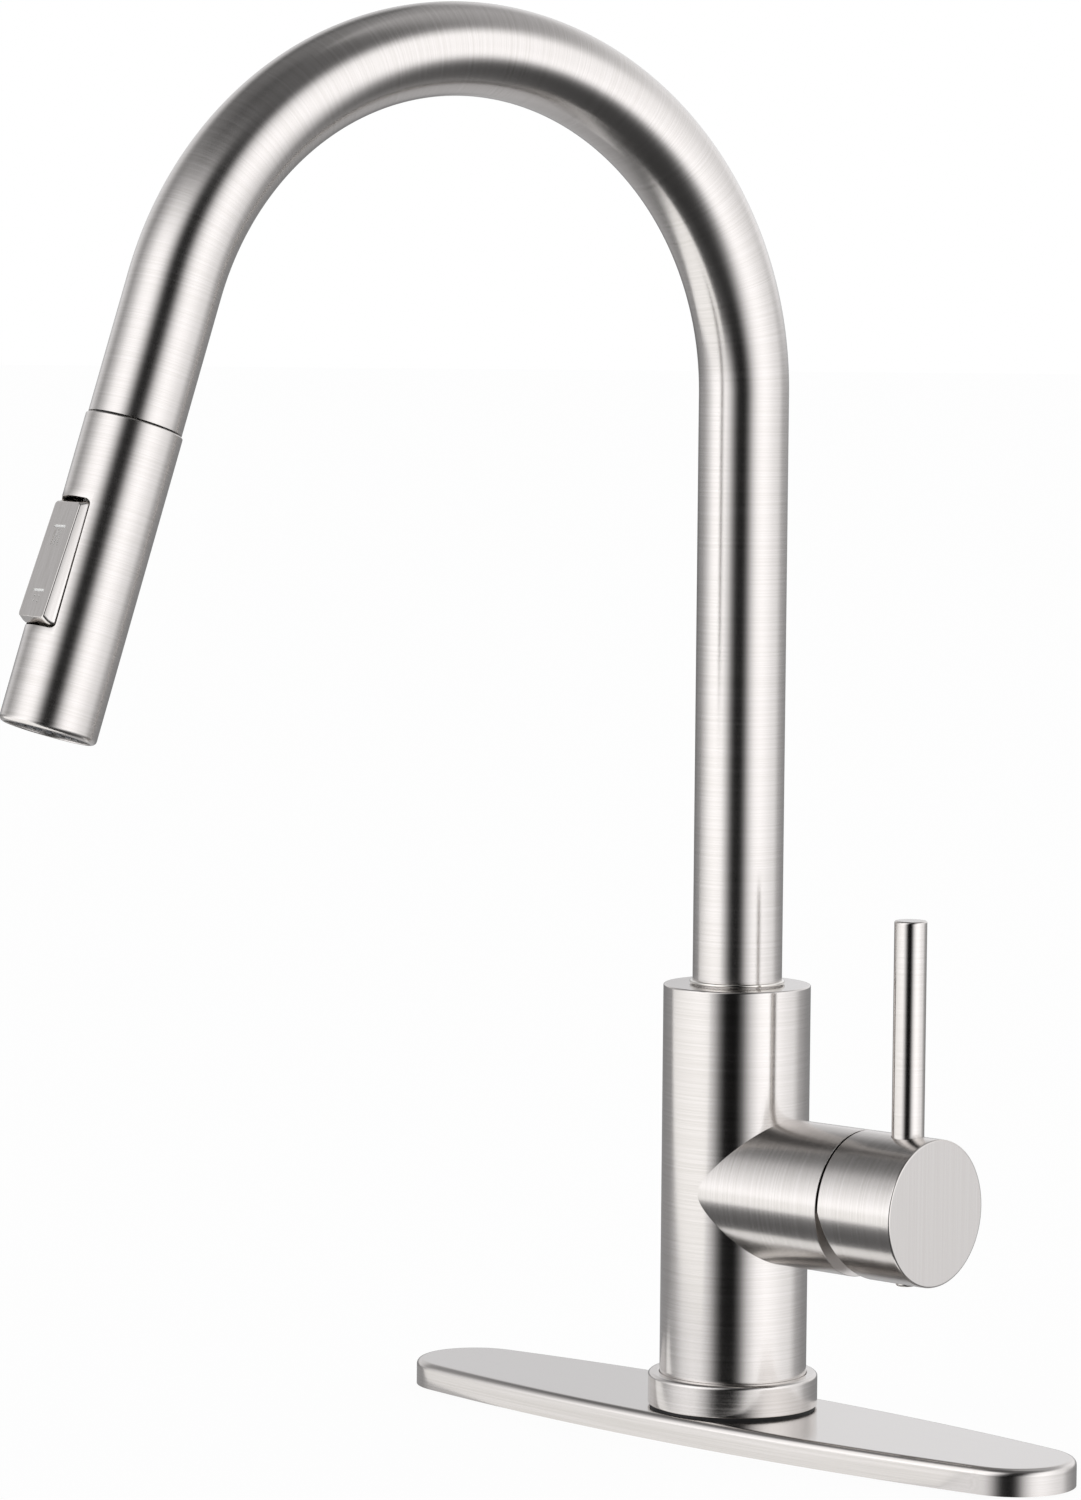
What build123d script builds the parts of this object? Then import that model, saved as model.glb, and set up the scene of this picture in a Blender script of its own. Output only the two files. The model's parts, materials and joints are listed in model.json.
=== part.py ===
from build123d import *
from math import cos, radians, sin, sqrt
import os

# Pull-down kitchen faucet in millimetres. +Z is up. The origin is on the column's axis, at the
# level of the worktop that the deck plate rests on. The deck plate lies along X, the handle is on
# the +X side, and the spout reaches towards -Y, swung round a little towards -X.

# ---- driving dimensions ----
# deck plate: an oval of two long side arcs and two end arcs
plate_length = 251.2
plate_width = 54.5
plate_height = 8.0
plate_end_radius = 18.9
plate_wall = 1.2
plate_edge_radius = 2.0
plate_gasket_height = 1.0
plate_gasket_width = 5.0

# column and its foot
column_radius = 22.25
column_bore = 20.0
column_foot_bore = 17.0
column_top = 136.7
column_neck_low = 105.2
column_neck_bore = 15.3
column_lip_height = 1.2
column_edge = 0.5
foot_bore_top = 28.0
foot_seal_height = 0.8
ring_radius = 25.7
ring_height = 9.7
ring_chamfer = 0.8

# shank and what clamps it under the worktop
deck_hole_radius = 17.5
deck_thickness = 30.0
shank_radius = 17.0
shank_thread_radius = 16.8
shank_bore = 15.5
shank_end = 62.0
pilot_length = 8.0
guard_bore = 14.9
thread_pitch = 2.0
thread_depth = 0.6
washer_radius = 27.0
rubber_washer_height = 3.0
steel_washer_height = 2.0
nut_height = 12.0
nut_hub_radius = 22.0
nut_wing_reach = 31.0
jack_screw_radius = 2.5
jack_screw_offset = 24.0
jack_screw_length = 24.0
port_circle = 10.6
port_radius = 4.0
port_depth = 12.0
port_angles = (-60, 0, 60)
inlet_block_bore = 5.9
riser_radius = 3.0
riser_wall = 0.7
riser_flange_radius = 4.6
riser_flange_height = 1.0

# side valve: the branch, the ceramic cartridge and the bonnet, on an axis along +X
valve_height = 75.6
branch_radius = 21.9
branch_end = 49.55
branch_bore = 17.9
manifold_flat = 7.0
manifold_face = 23.2
manifold_low = 56.0
manifold_high = 94.0
cartridge_radius = 17.4
cartridge_start = 24.0
cartridge_end = 43.0
cartridge_chamber = 15.0
disc_plane = 28.0
rotor_start = 34.6
rotor_end = 41.5
rotor_radius = 14.6
pivot_reach = 39.5
ball_reach = 31.5
bonnet_radius = 16.5
bonnet_wall = 1.2
bonnet_opening = 8.6

# handle
hub_start = 50.4
hub_end = 77.5
hub_cavity_radius = 17.4
hub_wedge = 7.0
stem_radius = 3.5
stem_end = 70.0
stem_square = 7.0
lever_radius = 4.83
lever_reach = 66.6
lever_top = 161.2
lever_foot = 84.0
screw_cap_radius = 3.1
screw_cap_rise = 0.7

# spout
tube_radius = 13.5
tube_bore = 12.0
tube_low = 100.0
arch_radius = 99.0
arch_height = 314.5
arch_turn = 162.3
spout_run = 41.0
spout_swing = 15.2
joint_gap = 0.25
hose_radius = 4.95
hose_stop = 2.0

# spray head, measured down its own axis from the joint with the spout
head_radius = 14.0
head_wall = 1.6
head_length = 89.8
button_top = 25.5
button_length = 36.2
button_width = 16.0
button_face = 14.2
button_back = 9.0
button_tilt = 2.7
button_pivot = 10.2
button_edge = 1.3
window_gap = 0.5
face_recess = 1.4
nozzle_circles = ((8.9, 18), (10.9, 24))

# ---- frames ----
# Valve frame: local z along the row's +X, local x along +Y, local y up.
valve_frame = Plane(origin=(0, 0, valve_height), x_dir=(0, 1, 0), z_dir=(1, 0, 0)).location
# Spout frame: local x points from the column out to the spray head.
spout_frame = Rot(0, 0, -(90 + spout_swing))
# Where the arch ends, and the way the spout runs from there down to the spray head.
run_x = sin(radians(arch_turn))
run_z = cos(radians(arch_turn))
arch_end_x = arch_radius - arch_radius * run_z
arch_end_z = arch_height + arch_radius * run_x
run_frame = Plane(origin=(arch_end_x, 0, arch_end_z), x_dir=(-run_z, 0, run_x), z_dir=(run_x, 0, run_z))
# Head frame: local z down the head, local x towards the side that carries the button.
head_frame = spout_frame * run_frame.location * Pos(0, 0, spout_run)

ring_low = plate_height + foot_seal_height
button_middle = button_top + button_length / 2


# ---- helpers ----
def rod(radius, low, high):
    """Solid round bar along Z between two heights."""
    return Pos(0, 0, low) * Cylinder(radius, high - low, align=(Align.CENTER, Align.CENTER, Align.MIN))


def ring(bore, radius, low, high):
    """Round tube along Z between two heights."""
    return rod(radius, low, high) - rod(bore, low, high)


def turned(*outline):
    """Solid turned about Z from its (radius, height) corners."""
    return revolve(Plane.XZ * Polygon(*outline, align=None), axis=Axis.Z)


def block(x_low, x_high, y_low, y_high, z_low, z_high):
    """Box between two corners."""
    size = (x_high - x_low, y_high - y_low, z_high - z_low)
    return Pos(x_low, y_low, z_low) * Box(*size, align=(Align.MIN, Align.MIN, Align.MIN))


def around(shape, radius, angles):
    """Copies of a shape on a circle about Z, one at each angle."""
    return [Rot(0, 0, angle) * Pos(radius, 0, 0) * shape for angle in angles]


def every(count):
    """Evenly spaced angles of a full turn."""
    return [360 * step / count for step in range(count)]


def cut(shape, tools):
    """Shape with each tool taken out of it."""
    for tool in tools:
        shape = shape - tool
    return shape


def joined(shapes):
    """One solid from shapes that meet."""
    whole = shapes[0]
    for shape in shapes[1:]:
        whole = whole + shape
    return whole


def cross_bar(radius, x, z, reach):
    """Round bar along Y, centred, at a place in the XZ plane."""
    return Pos(x, 0, z) * Rot(90, 0, 0) * Cylinder(radius, 2 * reach)


def oval(inset, low, high):
    """Deck plate outline, moved in by inset, as a solid between two heights."""
    half_length = plate_length / 2
    half_width = plate_width / 2
    end_centre = half_length - plate_end_radius
    bow = (end_centre**2 + half_width**2 - plate_end_radius**2) / (2 * (half_width - plate_end_radius))
    end = plate_end_radius - inset
    span = bow - plate_end_radius
    corner_x = end_centre + end * end_centre / span
    corner_y = end * (bow - half_width) / span
    tip = half_length - inset
    side = half_width - inset
    edges = [
        ThreePointArc((corner_x, -corner_y), (tip, 0), (corner_x, corner_y)),
        ThreePointArc((corner_x, corner_y), (0, side), (-corner_x, corner_y)),
        ThreePointArc((-corner_x, corner_y), (-tip, 0), (-corner_x, -corner_y)),
        ThreePointArc((-corner_x, -corner_y), (0, -side), (corner_x, -corner_y)),
    ]
    return Pos(0, 0, low) * extrude(make_face(edges), amount=high - low)


def spout_path(radius, bore, low, run):
    """Round tube or bar that follows the spout: up from low, over the arch and down its run."""
    def section():
        return Circle(radius) - Circle(bore) if bore else Circle(radius)
    hinge = Axis((arch_radius, 0, arch_height), (0, 1, 0))
    rise = Pos(0, 0, low) * extrude(section(), amount=arch_height - low)
    arch = revolve(Pos(0, 0, arch_height) * section(), axis=hinge, revolution_arc=arch_turn)
    fall = run_frame.location * extrude(section(), amount=run)
    return spout_frame * (rise + arch + fall)


# ---- deck plate ----
def deck_plate():
    """Stamped oval cover with a rounded top edge."""
    shell = oval(0, 0, plate_height)
    shell = fillet(shell.faces().sort_by(Axis.Z)[-1].edges(), plate_edge_radius)
    shell = shell - oval(plate_wall, 0, plate_height - plate_wall)
    return shell - rod(deck_hole_radius, 0, plate_height)


def plate_base():
    """Moulded base inside the cover, grooved underneath for its gasket."""
    base = oval(plate_wall + 0.2, 0, plate_height - plate_wall)
    groove = oval(3, 0, plate_gasket_height) - oval(3 + plate_gasket_width, 0, plate_gasket_height)
    return base - groove - rod(deck_hole_radius, 0, plate_height)


def plate_gasket():
    """Flat oval gasket, flush with the underside."""
    outer = oval(3.1, 0, plate_gasket_height)
    return outer - oval(2.9 + plate_gasket_width, 0, plate_gasket_height)


# ---- column ----
def body_gasket():
    """Dark seal between the deck plate and the base ring."""
    return ring(deck_hole_radius, ring_radius - 0.6, plate_height, ring_low)


def base_ring():
    """Cover ring round the column's foot."""
    bore = column_radius + 0.1
    top = ring_low + ring_height
    return turned(
        (bore, ring_low),
        (ring_radius, ring_low),
        (ring_radius, top - ring_chamfer),
        (ring_radius - ring_chamfer, top),
        (bore, top),
    )


def faucet_body():
    """Column: a turned tube with a threaded foot, a neck for the spout and a side opening."""
    lip_low = column_top - column_lip_height
    column = turned(
        (column_foot_bore, ring_low),
        (column_radius, ring_low),
        (column_radius, column_top - column_edge),
        (column_radius - column_edge, column_top),
        (tube_radius + 0.1, column_top),
        (tube_radius + 0.1, lip_low),
        (column_neck_bore, lip_low),
        (column_neck_bore, column_neck_low),
        (column_bore, column_neck_low),
        (column_bore, foot_bore_top),
        (column_foot_bore, foot_bore_top),
    )
    return column - valve_frame * rod(branch_bore, 0, column_radius + 1)


def swivel_bushes():
    """Two nylon bushes that the spout turns in."""
    low = ring(tube_radius + 0.06, column_neck_bore, column_neck_low, column_neck_low + 7)
    high_top = column_top - column_lip_height
    return Compound([low, ring(tube_radius + 0.06, column_neck_bore, high_top - 6.5, high_top)])


def swivel_seal():
    """Ring seal between the two bushes that gives the spout its drag."""
    return Pos(0, 0, (column_neck_low + column_top) / 2) * Torus(14.4, 0.82)


# ---- shank and deck clamp ----
def shank():
    """Threaded tube that goes down through the worktop."""
    inlet_low = ring_low + 2.5
    tube = rod(shank_thread_radius, -shank_end, inlet_low) + rod(shank_radius, -deck_thickness, 0)
    thread_low = pilot_length - shank_end
    turns = int((-thread_low - deck_thickness - thread_pitch) / thread_pitch)
    for turn in range(turns):
        height = thread_low + turn * thread_pitch
        tube = tube - ring(shank_thread_radius - thread_depth, shank_radius + 1, height, height + 0.8)
    return tube - rod(shank_bore, -shank_end, inlet_low)


def rubber_washer():
    """Soft washer against the worktop's underside."""
    low = -deck_thickness - rubber_washer_height
    return ring(shank_radius + 0.2, washer_radius, low, -deck_thickness)


def steel_washer():
    """Flat washer that the jack screws press on."""
    top = -deck_thickness - rubber_washer_height
    return ring(shank_radius + 0.2, washer_radius, top - steel_washer_height, top)


def mounting_nut():
    """Winged nut with tapped holes for two jack screws."""
    top = -deck_thickness - rubber_washer_height - steel_washer_height
    low = top - nut_height
    nut = rod(nut_hub_radius, low, top)
    wing = block(0, nut_wing_reach, -5, 5, low, top)
    nut = nut + wing + Rot(0, 0, 180) * wing
    holes = around(rod(jack_screw_radius + 0.05, low, top), jack_screw_offset, every(2))
    return cut(nut - rod(shank_thread_radius + 0.05, low, top), holes)


def jack_screws():
    """Two screws through the nut, down on the steel washer."""
    top = -deck_thickness - rubber_washer_height - steel_washer_height
    low = top - jack_screw_length
    screw = rod(jack_screw_radius, low, top) + rod(4.2, low - 3.2, low)
    screw = screw - block(-5, 5, -0.6, 0.6, low - 3.2, low - 1.8)
    return Compound(around(screw, jack_screw_offset, every(2)))


def shank_guard():
    """Moulded bush in the shank's sharp lower rim, which the hoses rub on."""
    sleeve = shank_bore - 0.05
    lip = shank_thread_radius - 0.3
    outline = [
        (guard_bore, -shank_end - 2),
        (lip, -shank_end - 2),
        (lip, -shank_end),
        (sleeve, -shank_end),
        (sleeve, -shank_end + pilot_length),
        (guard_bore, -shank_end + pilot_length),
    ]
    return turned(*outline)


# ---- waterway inside the column ----
def inlet_block():
    """Brass block at the foot: two inlets and the mixed outlet face down round the hose."""
    low = ring_low + 2.5
    body = ring(inlet_block_bore, column_foot_bore - 0.1, low, low + port_depth)
    return cut(body, around(rod(port_radius, low, low + port_depth), port_circle, port_angles))


def riser_tubes():
    """Three flanged copper tubes, brazed on the inlet block, up to the valve manifold."""
    low = ring_low + 2.5 + port_depth
    bore = riser_radius - riser_wall
    tube = ring(bore, riser_radius, low, manifold_low)
    tube = tube + ring(bore, riser_flange_radius, low, low + riser_flange_height)
    return Compound(around(tube, port_circle, port_angles))


def manifold():
    """Brass manifold that carries the cartridge and passes water to its three ports."""
    body = rod(column_bore - 0.3, manifold_low, manifold_high)
    body = body & block(manifold_flat, 30, -30, 30, manifold_low, manifold_high)
    bosses = around(rod(5, manifold_low, manifold_low + 10), port_circle, port_angles)
    nose = valve_frame * rod(17.3, manifold_flat, manifold_face)
    body = joined([body, nose] + bosses)
    body = body - rod(hose_radius + 0.8, manifold_low, manifold_high)
    ports = around(rod(2.5, manifold_face - 6, manifold_face), 8, (90, 210, 330))
    return cut(body, [valve_frame * port for port in ports])


def port_seals():
    """Three seal rings between the manifold and the cartridge."""
    seal = ring(2.2, 3.6, manifold_face, cartridge_start)
    return Compound([valve_frame * item for item in around(seal, 8, (90, 210, 330))])


# ---- side valve ----
def valve_branch():
    """Side branch, saddled on to the column, that houses the cartridge."""
    outline = [
        (branch_bore, 0),
        (branch_radius, 0),
        (branch_radius, branch_end - 0.3),
        (branch_radius - 0.3, branch_end),
        (branch_bore, branch_end),
    ]
    saddle = rod(column_radius + 0.02, 0, column_top)
    return valve_frame * turned(*outline) - saddle


def cartridge_housing():
    """Moulded cup of the ceramic cartridge, with three water ports in its back."""
    outline = [
        (0, cartridge_start),
        (cartridge_radius, cartridge_start),
        (cartridge_radius, cartridge_end),
        (12.5, cartridge_end),
        (12.5, cartridge_end - 1),
        (cartridge_chamber, cartridge_end - 1),
        (cartridge_chamber, cartridge_start + 1.5),
        (0, cartridge_start + 1.5),
    ]
    ports = around(rod(2.2, cartridge_start, cartridge_start + 1.5), 8, (90, 210, 330))
    return valve_frame * cut(turned(*outline), ports)


def fixed_disc():
    """Ceramic disc that stands still, with three round ports."""
    disc = rod(cartridge_chamber - 0.1, cartridge_start + 1.5, disc_plane)
    ports = around(rod(2.2, cartridge_start, disc_plane), 8, (90, 210, 330))
    return valve_frame * cut(disc, ports)


def moving_disc():
    """Ceramic disc and its carrier, which slides over the fixed disc on two flats."""
    low = disc_plane + 0.05
    disc = rod(11.5, low, 34) & block(-11, 11, -20, 20, low, 34)
    disc = disc - rod(2.6, 29, 34) - rod(3.4, 32.5, 34)
    return valve_frame * disc


def valve_rotor():
    """Driver that turns with the handle, holds the stem's pin and guides the moving disc."""
    rotor = rod(rotor_radius, rotor_start, rotor_end)
    for side in (-1, 1):
        rail = block(11.35, 13, -6, 6, 29, rotor_start)
        rotor = rotor + Rot(0, 0, 90 - 90 * side) * rail
    rotor = rotor - block(-4, 4, -8, 8, rotor_start, rotor_end)
    pin_bore = Pos(0, 0, pivot_reach) * Rot(0, 90, 0) * Cylinder(1.5, 2 * 11)
    return valve_frame * (rotor - pin_bore)


def stem_pin():
    """Pin that the stem tilts on."""
    return valve_frame * Pos(0, 0, pivot_reach) * Rot(0, 90, 0) * Cylinder(1.5, 2 * 10.8)


def cartridge_nut():
    """Threaded ring that holds the cartridge down."""
    nut = ring(12, branch_bore - 0.1, cartridge_end, cartridge_end + 3)
    slots = around(block(-2, 4, -1.5, 1.5, cartridge_end + 1, cartridge_end + 3), 13, every(4))
    return valve_frame * cut(nut, slots)


def bonnet_dome():
    """Polished dome over the cartridge, centred on the stem's pivot."""
    low = cartridge_end + 3.2
    high = pivot_reach + sqrt(bonnet_radius**2 - bonnet_opening**2)
    dome = Sphere(bonnet_radius) - Sphere(bonnet_radius - bonnet_wall)
    dome = Pos(0, 0, pivot_reach) * dome & rod(bonnet_radius + 1, low, high)
    flange = ring(14.5, branch_bore - 0.2, low, low + 1.2)
    return valve_frame * (dome + flange - rod(bonnet_opening, low, high + 5))


# ---- handle ----
def stem():
    """Cartridge stem: a ball in the moving disc, a pin bore and a square end in the hub."""
    shaft = rod(stem_radius, ball_reach + 5, hub_start + 7)
    neck = rod(1.8, ball_reach, ball_reach + 5)
    square = block(-stem_square / 2, stem_square / 2, -stem_square / 2, stem_square / 2, hub_start + 7, stem_end)
    whole = joined([shaft, neck, Pos(0, 0, ball_reach) * Sphere(2.2), square])
    pin_bore = Pos(0, 0, pivot_reach) * Rot(0, 90, 0) * Cylinder(1.55, 20)
    return valve_frame * (whole - pin_bore)


def handle_hub():
    """Round hub, cut back below its middle so that it can tilt, hollow round the bonnet."""
    hub = rod(branch_radius, hub_start, hub_end)
    hub = chamfer(hub.edges().filter_by(GeomType.CIRCLE).sort_by(Axis.Z)[-1], 0.6)
    wedge = Polygon((hub_start - 1, 0), (hub_start, 0), (hub_start + hub_wedge, -branch_radius),
                    (hub_start + hub_wedge, -branch_radius - 1), (hub_start - 1, -branch_radius - 1), align=None)
    hub = valve_frame * (hub - Pos(0, 0, pivot_reach) * Sphere(hub_cavity_radius))
    wedge_solid = extrude(Plane.XZ * wedge, amount=branch_radius + 5, both=True)
    hub = hub - Pos(0, 0, valve_height) * wedge_solid
    half = stem_square / 2 + 0.05
    socket = valve_frame * block(-half, half, -half, half, hub_start + 5, stem_end + 0.5)
    lever_bore = Pos(lever_reach, 0, 0) * rod(lever_radius + 0.02, lever_foot, valve_height + branch_radius)
    screw_bore = Pos(lever_reach, 0, 0) * rod(screw_cap_radius, valve_height - branch_radius - 1, valve_height)
    return hub - socket - lever_bore - screw_bore


def lever_rod():
    """Slim lever that stands up from the hub."""
    bevel = 0.6
    rod_solid = turned(
        (0, lever_foot),
        (lever_radius, lever_foot),
        (lever_radius, lever_top - bevel),
        (lever_radius - bevel, lever_top),
        (0, lever_top),
    )
    return Pos(lever_reach, 0, 0) * rod_solid


def set_screw():
    """Socket screw that clamps the hub on the stem."""
    top = valve_height - stem_square / 2
    screw = rod(2.5, top - 10, top) - rod(1.2, top - 10, top - 6)
    return Pos(lever_reach, 0, 0) * screw


def screw_cap():
    """Small polished button over the set screw."""
    low = valve_height - branch_radius
    cap = turned(
        (0, low - screw_cap_rise),
        (screw_cap_radius - 0.7, low - screw_cap_rise),
        (screw_cap_radius - 0.1, low - 0.1),
        (screw_cap_radius - 0.1, low + 4),
        (0, low + 4),
    )
    return Pos(lever_reach, 0, 0) * cap


# ---- spout ----
def spout_tube():
    """Gooseneck tube, grooved near its foot for the retaining clip."""
    tube = spout_path(tube_radius, tube_bore, tube_low, spout_run - joint_gap)
    groove_top = column_neck_low - 0.2
    return tube - ring(tube_radius - 0.6, tube_radius + 1, groove_top - 1.4, groove_top)


def spout_collar():
    """Thin ring round the tube, just above the column."""
    low = column_top + 0.3
    return ring(tube_radius, tube_radius + 0.9, low, low + 1.0)


def retaining_clip():
    """Clip in the tube's groove that keeps the spout from lifting out."""
    top = column_neck_low - 0.3
    clip = ring(tube_radius - 0.55, 17, top - 1.2, top)
    return clip - block(0, 20, -2, 2, top - 1.2, top)


def pull_down_hose():
    """Braided hose, from the shank's lower end up through the spout to the spray head."""
    return spout_path(hose_radius, 0, -shank_end - 2, spout_run - hose_stop)


def docking_collar():
    """Moulded guide in the spout's mouth that the spray head docks in."""
    collar = turned((8, -16), (tube_bore - 0.05, -16), (tube_bore - 0.05, -0.8), (10.9, -0.8),
                    (10.9, -5), (8, -5))
    return head_frame * collar


def dock_magnet():
    """Ring magnet at the mouth end of the guide."""
    return head_frame * ring(8.3, 10.8, -4.9, -0.9)


# ---- spray head ----
def head_shell():
    """Metal sleeve of the spray head, with a window for the button."""
    shell = turned(
        (8.2, joint_gap),
        (head_radius - 0.5, joint_gap),
        (head_radius, joint_gap + 0.5),
        (head_radius, head_length - 1.5),
        (head_radius - 0.25, head_length - 0.6),
        (head_radius - 0.9, head_length),
        (head_radius - head_wall, head_length),
        (head_radius - head_wall, joint_gap + 2),
        (8.2, joint_gap + 2),
    )
    half = button_width / 2 + window_gap
    low = button_top - window_gap
    high = button_top + button_length + window_gap
    return head_frame * (shell - block(2, 20, -half, half, low, high))


def dock_ring():
    """Steel keeper ring that the magnet holds."""
    return head_frame * ring(8.4, 11.8, joint_gap + 2, joint_gap + 4)


def dock_insert():
    """Tapered plug on top of the head that centres it in the spout."""
    insert = turned((5.95, -11), (6.9, -11), (7.6, -8), (7.6, 12), (5.95, 12))
    return head_frame * insert


def hose_connector():
    """Crimped ferrule and nipple at the hose's end."""
    nipple = turned((5, -14), (5.85, -14), (5.85, 10), (3, 10), (3, 1), (3, -hose_stop), (5, -hose_stop))
    return head_frame * nipple


def filter_washer():
    """Screen washer between the hose and the check valve."""
    return head_frame * ring(2, 5.8, 10, 11.5)


def check_valve():
    """Check valve cartridge."""
    return head_frame * turned((2.5, 11.6), (5.8, 11.6), (5.8, 14), (5.2, 14), (5.2, 20), (2.5, 20))


def diverter_housing():
    """Moulded water way with a lug for the button's pin and a bore for the spool."""
    body = rod(8, 12.2, 63)
    body = body - block(7.2, 10, -9, 9, button_top - 2, 70)
    lug = block(6.5, 12, -2, 2, button_middle - 2.2, button_middle + 2.2)
    body = body + lug - rod(5.9, 12.2, 21) - rod(3.1, 21, 63)
    return head_frame * (body - cross_bar(1.05, button_pivot, button_middle, 6))


def button_pin():
    """Pin that the rocker button turns on."""
    return head_frame * cross_bar(1.0, button_pivot, button_middle, 6.6)


def diverter_spool():
    """Spool that sends the water to the stream or to the spray."""
    spool = rod(3.04, 32, 54)
    for low in (36, 48):
        spool = spool - ring(2.3, 4, low, low + 1.6)
    return head_frame * spool


def spool_seals():
    """Two seal rings in the spool's grooves."""
    return head_frame * Compound([ring(2.3, 3.02, low, low + 1.6) for low in (36, 48)])


def spray_body():
    """Moulded block that splits the water between the aerator and the nozzles."""
    body = rod(head_radius - head_wall - 0.2, 64, 84)
    body = body - rod(7.05, 76, 84) - ring(8.2, 11.6, 79, 84)
    return head_frame * (body - rod(3.1, 64, 76))


def aerator():
    """Screened aerator in the middle of the spray face."""
    face = head_length - face_recess
    body = rod(6.9, 76, face - 0.3) - rod(5.9, face - 1.2, face - 0.3)
    bars = [Rot(0, 0, turn) * block(-5.9, 5.9, -0.35, 0.35, face - 1.2, face - 0.6) for turn in (0, 60, 120)]
    return head_frame * joined([body] + bars + [ring(2.4, 3.1, face - 1.2, face - 0.6)])


def nozzle_mat():
    """Soft mat with a nozzle through each hole of the spray face."""
    face = head_length - face_recess
    mat = ring(7.2, head_radius - head_wall - 0.3, 84, face - 3)
    for radius, count in nozzle_circles:
        tips = around(rod(0.75, 84, face + 0.6), radius, every(count))
        mat = joined([mat] + tips)
    return head_frame * mat


def spray_face():
    """Moulded face plate with two circles of nozzle holes."""
    face = head_length - face_recess
    plate = ring(7.0, head_radius - head_wall - 0.05, face - 3, face)
    for radius, count in nozzle_circles:
        plate = cut(plate, around(rod(0.85, face - 3, face), radius, every(count)))
    return head_frame * plate


def rocker_button():
    """Rocker pad with bevelled long edges, pressed in at its upper end."""
    half = button_width / 2
    pad = block(button_back, button_face, -half, half, button_top, button_top + button_length)
    long_edges = pad.edges().filter_by(Axis.Z).group_by(Axis.X)[-1]
    pad = chamfer(long_edges, button_edge)
    short_edges = pad.edges().filter_by(Axis.Y).group_by(Axis.X)[-1]
    pad = chamfer(short_edges, 0.5)
    tilt = Pos(button_pivot, 0, button_middle) * Rot(0, button_tilt, 0) * Pos(-button_pivot, 0, -button_middle)
    slot = block(button_back - 1, 12.4, -2.4, 2.4, button_middle - 3.4, button_middle + 3.4)
    return head_frame * (tilt * pad - slot - cross_bar(1.06, button_pivot, button_middle, 6.8))


NODES = [
    deck_plate, plate_base, plate_gasket, body_gasket, base_ring, faucet_body, swivel_bushes,
    swivel_seal, shank, rubber_washer, steel_washer, mounting_nut, jack_screws, shank_guard,
    inlet_block, riser_tubes, manifold, port_seals, valve_branch, cartridge_housing, fixed_disc,
    moving_disc, valve_rotor, stem_pin, cartridge_nut, bonnet_dome, stem, handle_hub, lever_rod,
    set_screw, screw_cap, spout_tube, spout_collar, retaining_clip, pull_down_hose, docking_collar,
    dock_magnet, head_shell, dock_ring, dock_insert, hose_connector, filter_washer, check_valve,
    diverter_housing, button_pin, diverter_spool, spool_seals, spray_body, aerator, nozzle_mat,
    spray_face, rocker_button,
]

os.makedirs("parts", exist_ok=True)
for make in NODES:
    export_step(make(), os.path.join("parts", make.__name__ + ".step"))
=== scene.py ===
import json
import logging
import math
from collections.abc import Callable, Sequence
from dataclasses import dataclass
from enum import Enum

import bpy
from bpy.types import Material, Mesh, Node, NodeSocket, NodeTree, Object
from mathutils import Matrix, Vector


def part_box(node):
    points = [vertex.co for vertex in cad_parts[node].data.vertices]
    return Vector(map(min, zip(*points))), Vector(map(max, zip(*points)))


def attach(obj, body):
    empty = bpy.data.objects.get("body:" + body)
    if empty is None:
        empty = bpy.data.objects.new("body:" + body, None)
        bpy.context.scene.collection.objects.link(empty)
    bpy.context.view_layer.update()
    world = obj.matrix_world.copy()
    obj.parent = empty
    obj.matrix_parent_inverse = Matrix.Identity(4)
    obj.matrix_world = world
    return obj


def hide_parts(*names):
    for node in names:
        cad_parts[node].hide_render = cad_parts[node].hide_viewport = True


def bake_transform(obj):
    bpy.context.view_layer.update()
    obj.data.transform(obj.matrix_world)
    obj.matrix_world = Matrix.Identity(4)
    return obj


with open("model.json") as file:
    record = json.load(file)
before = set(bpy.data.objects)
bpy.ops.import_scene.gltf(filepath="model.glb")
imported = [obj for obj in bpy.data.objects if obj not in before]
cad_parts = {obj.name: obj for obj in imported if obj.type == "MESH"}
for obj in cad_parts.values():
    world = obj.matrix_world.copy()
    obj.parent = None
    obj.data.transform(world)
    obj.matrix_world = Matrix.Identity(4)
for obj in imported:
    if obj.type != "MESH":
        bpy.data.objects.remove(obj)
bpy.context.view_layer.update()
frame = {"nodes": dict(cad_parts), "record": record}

MM = 0.001
WHITE = "#FFFFFF"
# Each mesh's own coordinates: its points' places on the straightened part, and a UV map round it.
LAY = "lay"
UV_NAME = "surface"
# How close to an edge an extra ring stands, in millimetres, so that flat stretches shade flat.
HOLD = 0.15
# Faces round a turned part, unless it says otherwise.
SIDES = 160
# A face counts as flat on when its normal's share along an axis is above this.
FLAT = 0.999

log = logging.getLogger("faucet")

Station = Callable[[float], tuple[float, float]]
Outline = Sequence[tuple[float, ...]]


# ---------------------------------------------------------------- helpers


def linear(hex_colour: str) -> tuple[float, float, float, float]:
    """Turn an sRGB hex colour to the linear values that a shader takes.

    Args:
        hex_colour: A colour such as "#C9C4BF".

    Returns:
        Linear red, green and blue, and an alpha of 1.
    """
    parts = [int(hex_colour[i:i + 2], 16) / 255 for i in (1, 3, 5)]
    values = [c / 12.92 if c <= 0.04045 else ((c + 0.055) / 1.055) ** 2.4 for c in parts]
    return (*values, 1.0)


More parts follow.
